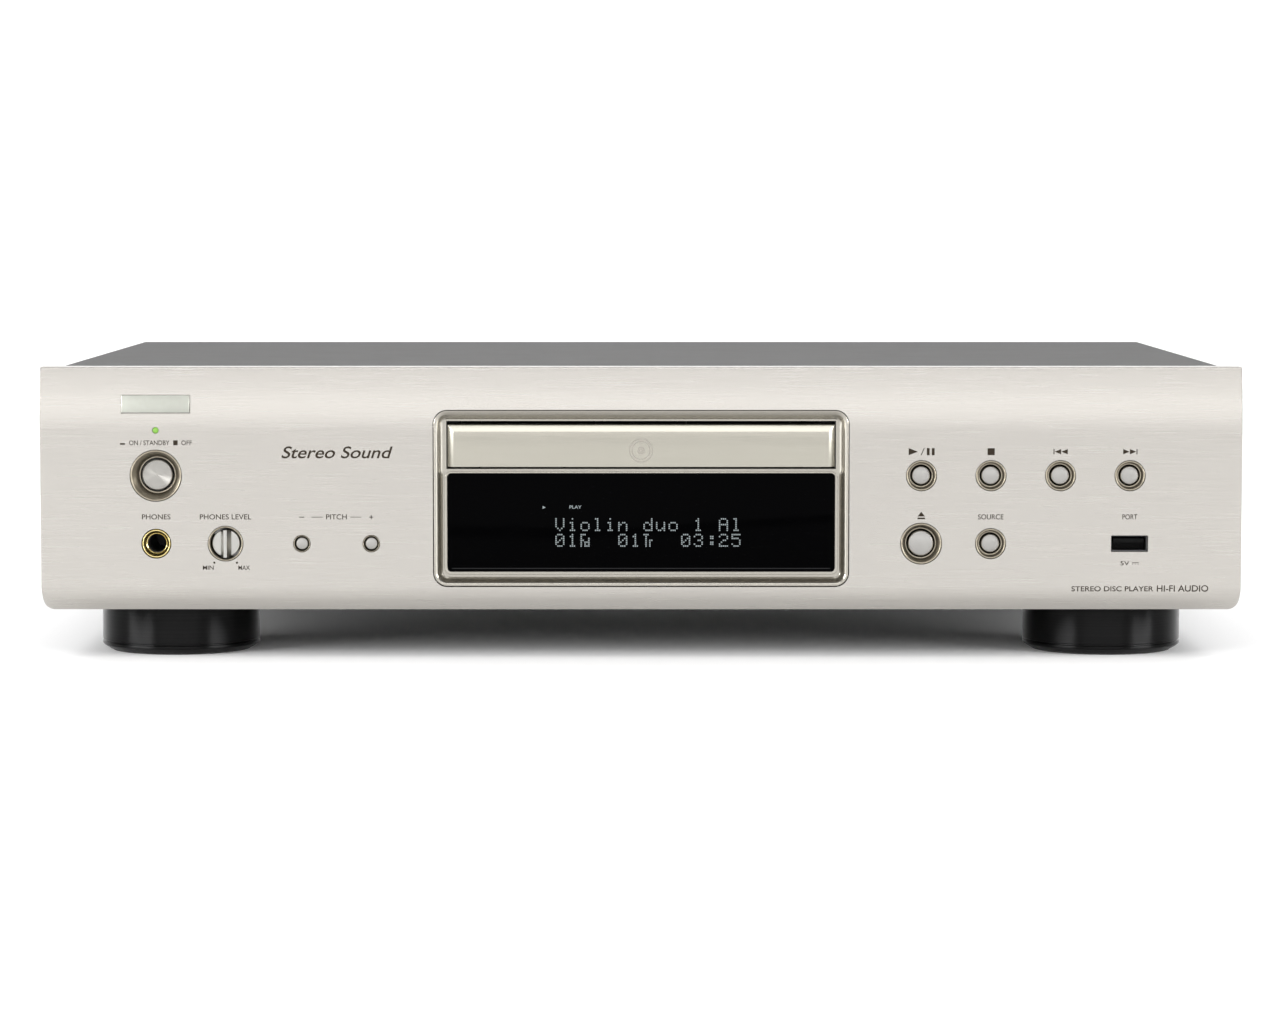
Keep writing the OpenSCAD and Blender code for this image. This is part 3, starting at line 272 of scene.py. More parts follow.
belt_rubber = moulded("belt_rubber", (0.015, 0.015, 0.015), 0.6)
lens_blue = moulded("lens_blue", (0.05, 0.09, 0.20), 0.05, height=SMOOTH)
ink = moulded("ink", (0.018, 0.013, 0.008), 0.6, height=SMOOTH, Specular_IOR_Level=0.1)
sign_ink = moulded("sign_ink", (0.20, 0.185, 0.165), 0.6, height=SMOOTH, Specular_IOR_Level=0.1)
lamp = moulded("lamp", (0.12, 0.26, 0.03), 0.3, height=SMOOTH, Emission_Color=(0.20, 0.45, 0.04, 1),
               Emission_Strength=0.12)
dots_lit = moulded("dots_lit", (0.12, 0.14, 0.145), 0.5, height=SMOOTH, Emission_Color=(0.42, 0.50, 0.50, 1),
                   Emission_Strength=0.08)

# ---- Mesh tools ----


def place(name, mesh, material, body="root", sharp=30):
    """Makes an object of a bmesh: smooth where its faces meet at under the sharp angle, riding on body."""
    bmesh.ops.recalc_face_normals(mesh, faces=mesh.faces)
    data = bpy.data.meshes.new(name)
    mesh.to_mesh(data)
    mesh.free()
    data.polygons.foreach_set("use_smooth", [True] * len(data.polygons))
    data.set_sharp_from_angle(angle=math.radians(sharp))
    data.materials.append(material)
    piece = bpy.data.objects.new(name, data)
    bpy.context.scene.collection.objects.link(piece)
    if body:
        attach(piece, body)
    return piece


def stands_for(piece, node):
    """The piece replaces a CAD node, which is hidden."""
    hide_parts(node)
    return piece


def loft(mesh, loops, close=True, cap=True):
    """Skins a list of point loops of equal length."""
    rings = [[mesh.verts.new(p) for p in loop] for loop in loops]
    count = len(rings[0])
    span = count if close else count - 1
    for a, b in zip(rings, rings[1:]):
        for i in range(span):
            mesh.faces.new((a[i], a[(i + 1) % count], b[(i + 1) % count], b[i]))
    if cap:
        mesh.faces.new(rings[0][::-1])
        mesh.faces.new(rings[-1])
    return rings


def closed_loft(mesh, loops):
    """As loft, with the last loop joined back to the first."""
    rings = loft(mesh, loops, cap=False)
    a, b = rings[-1], rings[0]
    count = len(a)
    for i in range(count):
        mesh.faces.new((a[i], a[(i + 1) % count], b[(i + 1) % count], b[i]))


def rounded_corner(before, corner, after, radius, steps=5):
    """Points that round a corner of an outline with the given radius."""
    a = Vector(before) - Vector(corner)
    b = Vector(after) - Vector(corner)
    if radius <= 0 or a.length < 1e-9 or b.length < 1e-9:
        return [tuple(corner)]
    angle = a.angle(b)
    if angle > math.radians(176):
        return [tuple(corner)]
    reach = min(radius / math.tan(angle / 2), a.length * 0.49, b.length * 0.49)
    start = Vector(corner) + a.normalized() * reach
    end = Vector(corner) + b.normalized() * reach
    points = []
    for i in range(steps + 1):
        t = i / steps
        points.append(tuple((1 - t) ** 2 * start + 2 * t * (1 - t) * Vector(corner) + t * t * end))
    return points


def softened(outline, radii, steps=5, closed=True):
    """An outline of 2-D points with each corner rounded by its radius."""
    points = []
    count = len(outline)
    for i, corner in enumerate(outline):
        if not closed and i in (0, count - 1):
            points.append(tuple(corner))
            continue
        radius = radii[i] if isinstance(radii, (list, tuple)) else radii
        points += rounded_corner(outline[i - 1], corner, outline[(i + 1) % count], radius, steps)
    return points


def revolve(mesh, centre, outline, segments=96, axis="Y"):
    """Turns an open outline of (radius, distance along the axis) about the axis through centre."""
    middle_point = Vector(centre)
    rings = []
    for r, d in outline:
        angles = [2 * math.pi * i / segments for i in range(segments)] if r > 1e-7 else [0]
        ring = []
        for a in angles:
            u, v = r * math.cos(a), r * math.sin(a)
            ring.append(mesh.verts.new(middle_point + Vector((u, d, v) if axis == "Y" else (u, v, d))))
        rings.append(ring)
    for a, b in zip(rings, rings[1:]):
        for i in range(segments):
            j = (i + 1) % segments
            if len(a) == 1 and len(b) == 1:
                break
            if len(a) == 1:
                mesh.faces.new((a[0], b[i], b[j]))
            elif len(b) == 1:
                mesh.faces.new((a[i], a[j], b[0]))
            else:
                mesh.faces.new((a[i], a[j], b[j], b[i]))
    return rings


def revolve_closed(mesh, centre, outline, segments=96, axis="Y"):
    """As revolve, for an outline that closes on itself away from the axis."""
    rings = revolve(mesh, centre, outline, segments, axis)
    a, b = rings[-1], rings[0]
    for i in range(segments):
        j = (i + 1) % segments
        mesh.faces.new((a[i], a[j], b[j], b[i]))


def rounded_rect(w, h, r, steps=10):
    """Corner-rounded rectangle about the origin, as (x, z) points."""
    points = []
    for cx, cz, start in ((1, 1, 0), (-1, 1, 90), (-1, -1, 180), (1, -1, 270)):
        for i in range(steps + 1):
            a = math.radians(start + 90 * i / steps)
            points.append((cx * (w / 2 - r) + r * math.cos(a), cz * (h / 2 - r) + r * math.sin(a)))
    return points


def rect_ring(cx, cz, w, h, r, inset, y, steps=10):
    """A rounded rectangle drawn inset from its outer size, at depth y."""
    radius = max(r - inset, 0.05 * MM)
    return [(cx + x, y, cz + z) for x, z in rounded_rect(w - 2 * inset, h - 2 * inset, radius, steps)]


def solid_box(mesh, low, high):
    """Adds a box between two corners."""
    bmesh.ops.create_cube(mesh, size=1, matrix=Matrix.Translation((Vector(low) + Vector(high)) / 2)
                          @ Matrix.Diagonal((*(Vector(high) - Vector(low)), 1)))


def bevelled_box(mesh, low, high, radius, segments=3):
    """A box with all its edges rounded."""
    part = bmesh.new()
    solid_box(part, low, high)
    bmesh.ops.bevel(part, geom=part.edges[:], offset=radius, segments=segments, profile=0.5, affect="EDGES")
    join(mesh, part)


def join(mesh, part):
    """Adds the faces of part to mesh and frees part."""
    data = bpy.data.meshes.new("part")
    part.to_mesh(data)
    part.free()
    mesh.from_mesh(data)
    bpy.data.meshes.remove(data)


def cut(piece, cutter_mesh, operation="DIFFERENCE"):
    """Cuts piece by a bmesh, which is freed."""
    bmesh.ops.recalc_face_normals(cutter_mesh, faces=cutter_mesh.faces)
    data = bpy.data.meshes.new("cutter")
    cutter_mesh.to_mesh(data)
    cutter_mesh.free()
    cutter = bpy.data.objects.new("cutter", data)
    bpy.context.scene.collection.objects.link(cutter)
    modifier = piece.modifiers.new("cut", "BOOLEAN")
    modifier.operation = operation
    modifier.solver = "EXACT"
    modifier.use_self = True
    modifier.object = cutter
    bpy.context.view_layer.update()
    result = bpy.data.meshes.new_from_object(piece.evaluated_get(bpy.context.evaluated_depsgraph_get()))
    piece.modifiers.clear()
    piece.data = result
    bpy.data.objects.remove(cutter)


def tidy_shading(piece, sharp=30):
    """Smooth where faces meet at under the sharp angle."""
    piece.data.polygons.foreach_set("use_smooth", [True] * len(piece.data.polygons))
    piece.data.set_sharp_from_angle(angle=math.radians(sharp))


# ---- Front panel ----

EDGE_R = 1.1 * MM  # rounding between the crown and the top
EDGE_RISE = 0.9 * EDGE_R
EDGE_START = math.radians(14)
END_R = 0.4 * MM
CROWN_STEPS = 26
CHIN_STEPS = 12
FLAT_STEPS = 6
EDGE_STEPS = 7
SQUEEZE_TOP = FLOOR + 9 * MM  # the lower corners' rounding fades out at this height


def panel_profile():
    """The panel's side outline as (y, z), from its lower back edge round the front to its upper one."""
    back = FACE + PANEL_DEPTH
    outline = [(back, FLOOR)]
    start = math.asin((CHIN_Z - FLOOR) / CHIN_R)
    for i in range(CHIN_STEPS + 1):
        a = start * (1 - i / CHIN_STEPS)
        outline.append((FACE + CHIN_R - CHIN_R * math.cos(a), CHIN_Z - CHIN_R * math.sin(a)))
    for i in range(1, FLAT_STEPS + 1):
        outline.append((FACE, CHIN_Z + (CROWN_Z - CHIN_Z) * i / FLAT_STEPS))
    end = math.asin((TOP - EDGE_RISE - CROWN_Z) / CROWN_R)
    for i in range(1, CROWN_STEPS + 1):
        a = end * i / CROWN_STEPS
        outline.append((FACE + CROWN_R * (1 - math.cos(a)), CROWN_Z + CROWN_R * math.sin(a)))
    last_y = outline[-1][0]
    for i in range(1, EDGE_STEPS + 1):
        a = EDGE_START + (math.pi / 2 - EDGE_START) * i / EDGE_STEPS
        share = (math.sin(a) - math.sin(EDGE_START)) / (1 - math.sin(EDGE_START))
        depth = 0.95 * EDGE_R * (math.cos(EDGE_START) - math.cos(a))
        outline.append((last_y + depth, TOP - EDGE_RISE * (1 - share)))
    outline.append((back, TOP))
    return outline


def inward(outline, i):
    """Direction into the panel at a point of its side outline."""
    a, b = outline[max(i - 1, 0)], outline[min(i + 1, len(outline) - 1)]
    dy, dz = b[0] - a[0], b[1] - a[1]
    size = math.hypot(dy, dz)
    return dz / size, -dy / size


def panel_station(x, outline):
    """The side outline at x, drawn in where the panel's ends and lower corners are rounded."""
    edge = HALF_W - abs(x)
    inset = END_R - math.sqrt(max(END_R ** 2 - max(END_R - edge, 0) ** 2, 0))
    over = max(CORNER_R - edge, 0)
    lift = CORNER_R - math.sqrt(max(CORNER_R ** 2 - over ** 2, 0))
    points = []
    for i, (y, z) in enumerate(outline):
        if 0 < i < len(outline) - 1:
            ny, nz = inward(outline, i)
            y, z = y + ny * inset, z + nz * inset
        elif i == len(outline) - 1:
            z -= inset
        if z < SQUEEZE_TOP:
            z += lift * (SQUEEZE_TOP - z) / (SQUEEZE_TOP - FLOOR)
        points.append((x, y, z))
    return points


def hole(mesh, x, z, radius, segments=96):
    """A cutter for a round hole right through the panel."""
    start, length = FACE - 4 * MM, PANEL_DEPTH + 6 * MM
    revolve(mesh, (x, start, z), [(0, 0), (radius, 0), (radius, length), (0, length)], segments)


# A button in millimetres: its ring's outer radius, mouth radius and depth, and its cap's radius
MEDIUM = (5.4, 4.9, 3.0, 3.3)
LARGE = (7.35, 6.8, 3.4, 4.6)
SMALL = (2.95, 2.75, 1.2, 2.2)
BUTTONS = {
    "play_button": MEDIUM, "stop_button": MEDIUM, "previous_button": MEDIUM, "next_button": MEDIUM,
    "eject_button": LARGE, "source_button": MEDIUM, "pitch_down_button": SMALL, "pitch_up_button": SMALL,
}
POWER_FIT = (9.2, 8.7, 6, 5.4)
POWER_RING_R, POWER_R = POWER_FIT[0] * MM, POWER_FIT[3] * MM
KNOB_RING_R, KNOB_R = 6.25 * MM, 5 * MM
NUT_R = 5.2 * MM
LAMP_HOLE_R = 1.2 * MM
BEZEL_R = 5 * MM
USB_W, USB_H = 13.4 * MM, 6 * MM


def build_front_panel():
    outline = panel_profile()
    ends = [CORNER_R * (1 - math.sin(math.pi / 2 * i / 14)) for i in range(15)]
    left = [-HALF_W + e for e in ends[::-1]]
    stations = left + [-HALF_W * 0.5, 0, HALF_W * 0.5] + [-x for x in left[::-1]]
    mesh = bmesh.new()
    loft(mesh, [panel_station(x, outline) for x in stations])
    piece = place("front_panel_shell", mesh, panel_metal)
    pocket = bmesh.new()
    solid_box(pocket, (-HALF_W + PANEL_EDGE, FACE + PANEL_WALL, FLOOR + PANEL_EDGE),
              (HALF_W - PANEL_EDGE, FACE + PANEL_DEPTH + MM, TOP - PANEL_EDGE))
    cut(piece, pocket)
    holes = bmesh.new()
    for node, (ring_r, *_) in BUTTONS.items():
        spot = middle(node)
        hole(holes, spot.x, spot.z, ring_r * MM + SEAM)
    hole(holes, LEFT_X, UPPER_Z, POWER_RING_R + SEAM, segments=128)
    hole(holes, LEFT_X, LOWER_Z, NUT_R + SEAM)
    hole(holes, KNOB_X, LOWER_Z, KNOB_RING_R + SEAM)
    hole(holes, LAMP.x, LAMP.z, LAMP_HOLE_R, segments=48)
    centre = middle("window_bezel")
    size = bezel_high - bezel_low
    through = (FACE - 2 * MM, FACE + PANEL_DEPTH)
    loft(holes, [rect_ring(0, centre.z, size.x, size.z, BEZEL_R, -SEAM, y) for y in through])
    loft(holes, [rect_ring(RIGHT_X, LOWER_Z, USB_W, USB_H, 0.3 * MM, 0, y, 3) for y in through])
    cut(piece, holes)
    badge = bmesh.new()
    low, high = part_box("badge_plate")
    # The pocket is wider below and to the right, where it shows as a dark line.
    solid_box(badge, (low.x - FIT, FACE - 2 * MM, low.z - 4 * FIT),
              (high.x + 3 * FIT, high.y, high.z + FIT))
    cut(piece, badge)
    tidy_shading(piece, 25)
    stands_for(piece, "front_panel")


build_front_panel()

# ---- Badge, blank ----


def build_badge():
    """A plain plate, tilted to lie on the crown."""
    mesh = bmesh.new()
    low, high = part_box("badge_plate")
    tilt = math.asin((middle("badge_plate").z - CROWN_Z) / CROWN_R)
    centre = (low + high) / 2
    half = Vector(((high.x - low.x) / 2, 0.45 * MM, 3.15 * MM))
    bevelled_box(mesh, -half, half, 0.22 * MM)
    turn = Matrix.Translation(centre) @ Matrix.Rotation(-tilt, 4, "X")
    bmesh.ops.transform(mesh, matrix=turn, verts=mesh.verts)
    stands_for(place("badge", mesh, badge_metal), "badge_plate")


build_badge()

# ---- Control rings ----

SUB_BACK = 7.5  # the rings end at the back of the sub panel


def in_metres(outline, radii, steps=4, closed=True):
    """A softened outline from points and corner radii in millimetres."""
    return softened([(a * MM, b * MM) for a, b in outline], [r * MM for r in radii], steps, closed)


def build_rings():
    """The funnel-shaped rings round the caps, and the plain one round the knob, in millimetres."""
    mesh = bmesh.new()
    rings = [(middle(node), sizes, 0.55, 96) for node, sizes in BUTTONS.items()]
    rings.append((POWER, POWER_FIT, 0.75, 128))
    for spot, (ring_r, mouth, depth, cap), gap, segments in rings:
        bore = cap + gap
        lip = min(bore + 0.5, mouth - 0.1)
        outline = [(ring_r, 0), (mouth, 0), (lip, depth), (bore, depth), (bore, SUB_BACK), (ring_r, SUB_BACK)]
        points = in_metres(outline, [0.22, 0.35, 0.3, 0.2, 0, 0])
        revolve_closed(mesh, (spot.x, FACE, spot.z), points, segments)
    outer = KNOB_RING_R / MM
    outline = [(outer, 0), (outer - 0.4, 0), (outer - 0.65, 0.7), (outer - 0.65, SUB_BACK), (outer, SUB_BACK)]
    revolve_closed(mesh, (KNOB_X, FACE, LOWER_Z), in_metres(outline, [0.15, 0.2, 0.2, 0, 0]))
    stands_for(place("rings", mesh, ring_satin), "control_rings")


build_rings()

# ---- Buttons ----


DOME_STEPS = 10
RIM_STEPS = 5


def build_button(node, cap_r):
    """A cap with a domed face and a soft rim, its guide, and its stem back to the switch."""
    low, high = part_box(node)
    spot = (low + high) / 2
    front = low.y - FACE
    dome = 3 * cap_r
    stem_r = min(cap_r, 1.8 * MM)
    rim = 0.12 * cap_r
    outline = []
    for i in range(DOME_STEPS + 1):
        r = (cap_r - rim) * i / DOME_STEPS
        outline.append((r, front + dome - math.sqrt(dome ** 2 - r ** 2)))
    start = outline[-1][1]
    drop = front + dome - math.sqrt(dome ** 2 - cap_r ** 2) + rim - start
    for i in range(1, RIM_STEPS + 1):
        a = math.pi / 2 * i / RIM_STEPS
        outline.append((cap_r - rim + rim * math.sin(a), start + drop * (1 - math.cos(a))))
    guide = 9.5 * MM
    outline += [(cap_r, guide), (stem_r, guide), (stem_r, high.y - FACE), (0, high.y - FACE)]
    mesh = bmesh.new()
    revolve(mesh, (spot.x, FACE, spot.z), outline)
    stands_for(place(node + "_cap", mesh, cap_satin, node, 40), node)


for node, (*_, cap) in BUTTONS.items():
    build_button(node, cap * MM)


def build_power_button():
    """A flat cap, dished a little toward its middle, and its stem."""
    low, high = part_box("power_button")
    front, skirt, back = low.y - FACE, low.y - FACE + 6 * MM, high.y - FACE
    stem_r = 3 * MM
    outline = [(0, front + 0.25 * MM), (POWER_R - 0.9 * MM, front), (POWER_R, front), (POWER_R, skirt),
               (stem_r, skirt), (stem_r, back), (0, back)]
    radii = [0, 0.6 * MM, 0.35 * MM, 0, 0, 0, 0]
    mesh = bmesh.new()
    revolve(mesh, (LEFT_X, FACE, UPPER_Z), softened(outline, radii, closed=False), 128)
    metal = spun("spun_cap", (0.345, 0.335, 0.315), 0.38, (LEFT_X, FACE, UPPER_Z))
    stands_for(place("power_button_cap", mesh, metal, "power_button", 40), "power_button")


build_power_button()

# ---- Level knob ----


def build_knob():
    """A round body with a tapered grip across it, and a mark at the grip's upper end."""
    low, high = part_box("level_knob")
    top = FACE + 2 * MM
    stem_r, body_deep, back = 3, 6.5, (high.y - top) / MM
    outline = [(0, 0), (KNOB_R / MM, 0), (KNOB_R / MM, body_deep), (stem_r, body_deep),
               (stem_r, back), (0, back)]
    mesh = bmesh.new()
    revolve(mesh, (KNOB_X, top, LOWER_Z), in_metres(outline, [0, 0.35, 0, 0, 0, 0], closed=False))
    body = place("level_knob_body", mesh, knob_satin, "level_knob", 40)
    wedge = bmesh.new()
    side = in_metres([(-2.2, 0.6), (-0.55, -3.5), (0.55, -3.5), (2.2, 0.6)], [0, 0.25, 0.25, 0])
    loft(wedge, [[(KNOB_X + x, top + y, LOWER_Z + s * 6 * MM) for x, y in side] for s in (-1, 1)])
    ridge = place("level_knob_grip", wedge, knob_satin, "level_knob", 40)
    barrel = bmesh.new()
    reach, grip_r = 8 * MM, KNOB_R - 0.05 * MM
    revolve(barrel, (KNOB_X, top - 6 * MM, LOWER_Z), [(0, 0), (grip_r, 0), (grip_r, reach), (0, reach)])
    cut(ridge, barrel, "INTERSECT")
    tidy_shading(ridge, 40)
    mark = bmesh.new()
    half, stroke_low, stroke_high = 0.28 * MM, LOWER_Z + 2.9 * MM, LOWER_Z + 4.7 * MM
    bevelled_box(mark, (KNOB_X - half, low.y + 0.018 * MM, stroke_low),
                 (KNOB_X + half, low.y + 0.2 * MM, stroke_high), 0.02 * MM)
    pointer = place("level_knob_mark", mark, ink, "level_knob")
    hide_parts("level_knob")


build_knob()

# ---- Lamp and phones jack ----


def build_lamp():
    """A lens with a slightly domed face and a collar behind."""
    mesh = bmesh.new()
    lens_r, collar_r = 1.1, 1.5
    outline = [(0, 0.05), (lens_r * 0.6, 0.12), (lens_r, 0.35), (lens_r, 8),
               (collar_r, 8), (collar_r, 11), (0, 11)]
    revolve(mesh, (LAMP.x, FACE, LAMP.z), [(r * MM, d * MM) for r, d in outline], 48)
    stands_for(place("power_lamp", mesh, lamp, "root", 40), "power_led")


def build_jack():
    """The nut of the phones jack, with its funnel."""
    mesh = bmesh.new()
    outer, bore, back = NUT_R / MM, 3.45, 4.3
    outline = [(outer, 0.35), (4.95, 0), (4.65, 0), (3.75, 2.1), (bore, 2.3), (bore, back), (outer, back)]
    revolve_closed(mesh, (LEFT_X, FACE, LOWER_Z), in_metres(outline, [0.1, 0.1, 0.15, 0.3, 0.1, 0, 0]))
    stands_for(place("phones_nut", mesh, gold, "root", 40), "headphone_jack_nut")


build_lamp()
build_jack()

# ---- Port ----


def build_port():
    """A steel shell round a black carrier with its contact tongue; both are coloured darker than their real
    finish, as painted shade inside the port.
    """
    low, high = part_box("usb_socket")
    x, z = (low.x + high.x) / 2, (low.z + high.z) / 2
    w, h = USB_W - 0.2 * MM, USB_H - 0.2 * MM
    shell, carrier = bmesh.new(), bmesh.new()
    front = max(low.y, FACE + 0.8 * MM)
    rings = [(0, front), (0, high.y), (0.35 * MM, high.y), (0.35 * MM, front)]
    closed_loft(shell, [rect_ring(x, z, w, h, 0.45 * MM, inset, y, 4) for inset, y in rings])
    loft(carrier, [rect_ring(x, z, w, h, 0.4 * MM, 0.4 * MM, y, 4) for y in (front + 7 * MM, high.y)])
    reach = 0.42 * w
    solid_box(carrier, (x - reach, front + 1.2 * MM, z + 0.1 * MM),
              (x + reach, front + 7.5 * MM, z + 1.6 * MM))
    stands_for(place("port_shell", shell, port_steel_painted_shade, "root", 40), "usb_socket")
    place("port_tongue", carrier, port_black_and_painted_shade)


build_port()

# ---- Window frame ----

DOOR_SLOT = 1.2 * MM  # gap above the tray door
DOOR_GAP = 0.4 * MM  # gap at its ends
GLASS_R = 1.4 * MM
frame_middle, frame_size = (bezel_low + bezel_high) / 2, bezel_high - bezel_low
glass_middle, glass_size = (glass_low + glass_high) / 2, glass_high - glass_low


def build_lip():
    """The rolled outer lip: its section is steeper at the sides and the bottom than along the top."""
    mesh = bmesh.new()
    corner = bezel_high.z - BEZEL_R
    # Inset and depth of the section at the sides and the bottom, and its depth along the top, in millimetres.
    section = [(0, 4.4, 4.4), (0, 0.45, 0.3), (0.12, 0.14, 0.14), (0.4, 0, 0.3), (0.8, 0.02, 0.65),
               (1.2, 0.22, 1.0), (1.55, 0.62, 1.3), (1.8, 1.15, 1.55), (2.05, 1.85, 1.8), (2.4, 2.45, 2.15),
               (2.85, 2.85, 2.6), (3.3, 3.0, 3.0), (3.3, 4.4, 4.4)]
    loops = []
    for inset, side, top in section:
        loop = rect_ring(0, frame_middle.z, frame_size.x, frame_size.z, BEZEL_R, inset * MM, 0)
        share = [min(max((z - corner) / (BEZEL_R - inset * MM), 0), 1) ** 2 for x, y, z in loop]
        loops.append([(x, FACE + (side + (top - side) * w) * MM, z) for (x, y, z), w in zip(loop, share)])
    closed_loft(mesh, loops)
    return place("window_frame", mesh, bezel_satin, "root", 50)


def build_window_floor():
    """The floor inside the lip, with the door's opening and the seat of the glass cut through it."""
    mesh = bmesh.new()
    loft(mesh, [rect_ring(0, frame_middle.z, frame_size.x, frame_size.z, BEZEL_R, 3.2 * MM, FACE + d * MM)
                for d in (3.0, 9.8)])
    piece = place("window_floor", mesh, bezel_satin, "root", 30)
    cuts = bmesh.new()
    solid_box(cuts, (door_low.x - DOOR_GAP, FACE - MM, door_low.z - 2 * DOOR_GAP),
              (door_high.x + DOOR_GAP, FACE + 12 * MM, door_high.z + DOOR_SLOT))
    seat_w, seat_h = glass_size.x - 6 * MM, glass_size.z - 6 * MM
    loft(cuts, [rect_ring(0, glass_middle.z, seat_w, seat_h, GLASS_R, 0, FACE + d * MM) for d in (1, 12)])
    cut(piece, cuts)
    tidy_shading(piece)
    return piece


def build_surround():
    """The raised surround that holds the glass, narrower above it than elsewhere."""
    mesh = bmesh.new()
    ledge = 1.1  # how far in the glass starts
    section = [(0, 3.2), (0, 1.55), (0.12, 1.28), (0.4, 1.2), (1.0, 1.2), (ledge, 1.3),
               (ledge, 3.9), (4.0, 3.9), (4.0, 4.6), (0, 4.6)]
    loops = []
    for inset, depth in section:
        trim = 0.7 * MM * max(1 - inset / ledge, 0)
        w, h = glass_size.x + 2.4 * MM, glass_size.z + 2.4 * MM - trim
        loops.append(rect_ring(0, glass_middle.z - trim / 2, w, h, 2.6 * MM, inset * MM, FACE + depth * MM))
    closed_loft(mesh, loops)
    return place("window_surround", mesh, bezel_satin, "root", 40)


def build_window_frame():
    lip, floor, surround = build_lip(), build_window_floor(), build_surround()
    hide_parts("window_bezel")


def build_glass():
    """The black window with its small bevel, and a faint grey line along its lower edge."""
    mesh = bmesh.new()
    edge = [(0, 2.6), (0, 0.22), (0.06, 0.06), (0.22, 0)]
    loft(mesh, [rect_ring(0, glass_middle.z, glass_size.x, glass_size.z, GLASS_R, inset * MM,
                          glass_low.y + depth * MM) for inset, depth in edge])
    stands_for(place("display_glass", mesh, window_gloss, "root", 30), "display_window")
    line = bmesh.new()
    half, low = glass_size.x / 2 - 1.6 * MM, glass_low.z + 0.9 * MM
    solid_box(line, (-half, glass_low.y - 0.01 * MM, low), (half, glass_low.y + 0.1 * MM, low + 0.3 * MM))
    place("display_line", line, window_line)


build_window_frame()
build_glass()

# ---- Display: dot-matrix characters ----

GLYPHS = {
    "0": "01110 10001 10011 10101 11001 10001 01110", "1": "00100 01100 00100 00100 00100 00100 01110",
    "2": "01110 10001 00001 00110 01000 10000 11111", "3": "01110 10001 00001 00110 00001 10001 01110",
    "5": "11111 10000 11110 00001 00001 10001 01110", ":": "00000 00110 00110 00000 00110 00110 00000",
    "V": "10001 10001 10001 10001 10001 01010 00100", "i": "00100 00000 01100 00100 00100 00100 01110",
    "o": "00000 00000 01110 10001 10001 10001 01110", "l": "01100 00100 00100 00100 00100 00100 01110",
    "n": "00000 00000 10110 11001 10001 10001 10001", "d": "00001 00001 01101 10011 10001 10001 01111",
    "u": "00000 00000 10001 10001 10001 10011 01101", "A": "01110 10001 10001 11111 10001 10001 10001",
    "t": "11100 01000 01000 01011 01010 01010 01010", "f": "11100 10000 10001 11001 10111 10101 10111",
    " ": "00000 00000 00000 00000 00000 00000 00000",
}
GLYPH_ROWS = 7
CELL = 4.55 * MM  # from one character to the next
DOT = 0.69 * MM  # from one dot to the next
DOT_SIZE = DOT * 0.70
DISPLAY_LEFT = -31 * MM
# Each row of text and the height of its foot. t and f stand for small joined letters after a number.
DISPLAY_ROWS = {"Violin duo 1 Al": 47.7 * MM, "01f  01t  03:25": 42.0 * MM}


def build_display():
    """The lit characters, dot by dot, and the small play arrow."""
    mesh = bmesh.new()
    front = glass_low.y - 0.015 * MM
    back = front + 0.1 * MM
    for text, base in DISPLAY_ROWS.items():
        for n, letter in enumerate(text):
            for row, bits in enumerate(GLYPHS[letter].split()):
                for column, bit in enumerate(bits):
                    if bit == "1":
                        x = DISPLAY_LEFT + n * CELL + column * DOT
                        z = base + (GLYPH_ROWS - 1 - row) * DOT
                        solid_box(mesh, (x, front, z), (x + DOT_SIZE, back, z + DOT_SIZE))
    left, low, size = DISPLAY_LEFT - 4.6 * MM, 55.7 * MM, 1.1 * MM
    points = [(left, low), (left + size, low + size / 2), (left, low + size)]
    loft(mesh, [[(x, y, z) for x, z in points] for y in (front, back)])
    place("display_characters", mesh, dots_lit)


build_display()

# ---- Tray door ----


def build_door():
    """A block with wide bevels along its top and ends, and small radii on every edge."""
    mesh = bmesh.new()
    deep, rise, side = 1.4 * MM, 2.7 * MM, 2.2 * MM
    y0, y1 = door_low.y, door_high.y
    z0, z1 = door_low.z, door_high.z
    loops = []
    for y, inset, drop in ((y1, 0, 0), (y0 + deep, 0, 0), (y0, side, rise)):
        x0, x1, top_z = door_low.x + inset, door_high.x - inset, z1 - drop
        loops.append([(x0, y, z0), (x1, y, z0), (x1, y, top_z), (x0, y, top_z)])
    loft(mesh, loops)
    bmesh.ops.recalc_face_normals(mesh, faces=mesh.faces)
    top = [e for e in mesh.edges if all(v.co.z > z1 - 0.01 * MM and v.co.y < y1 - MM for v in e.verts)]
    bmesh.ops.bevel(mesh, geom=top, offset=0.55 * MM, segments=4, profile=0.5, affect="EDGES")
    sharp = [e for e in mesh.edges if e.calc_face_angle(0) > math.radians(20)]
    bmesh.ops.bevel(mesh, geom=sharp, offset=0.12 * MM, segments=3, profile=0.5, affect="EDGES")
    stands_for(place("tray_front", mesh, door_satin, "tray", 20), "tray_door")
    # A plain disc sign: thin rings printed on the face.
    rings = bmesh.new()
    spot = (0, y0 - PRINT, (z0 + z1) / 2 - 1.7 * MM)
    line, depth = 0.3 * MM, 0.1 * MM
    for r in (4.3 * MM, 3.4 * MM, 1.3 * MM, 0.7 * MM):
        revolve_closed(rings, spot, [(r, 0), (r - line, 0), (r - line, depth), (r, depth)], 64)
    place("disc_sign", rings, sign_ink, "tray")


build_door()

# ---- Top cover ----


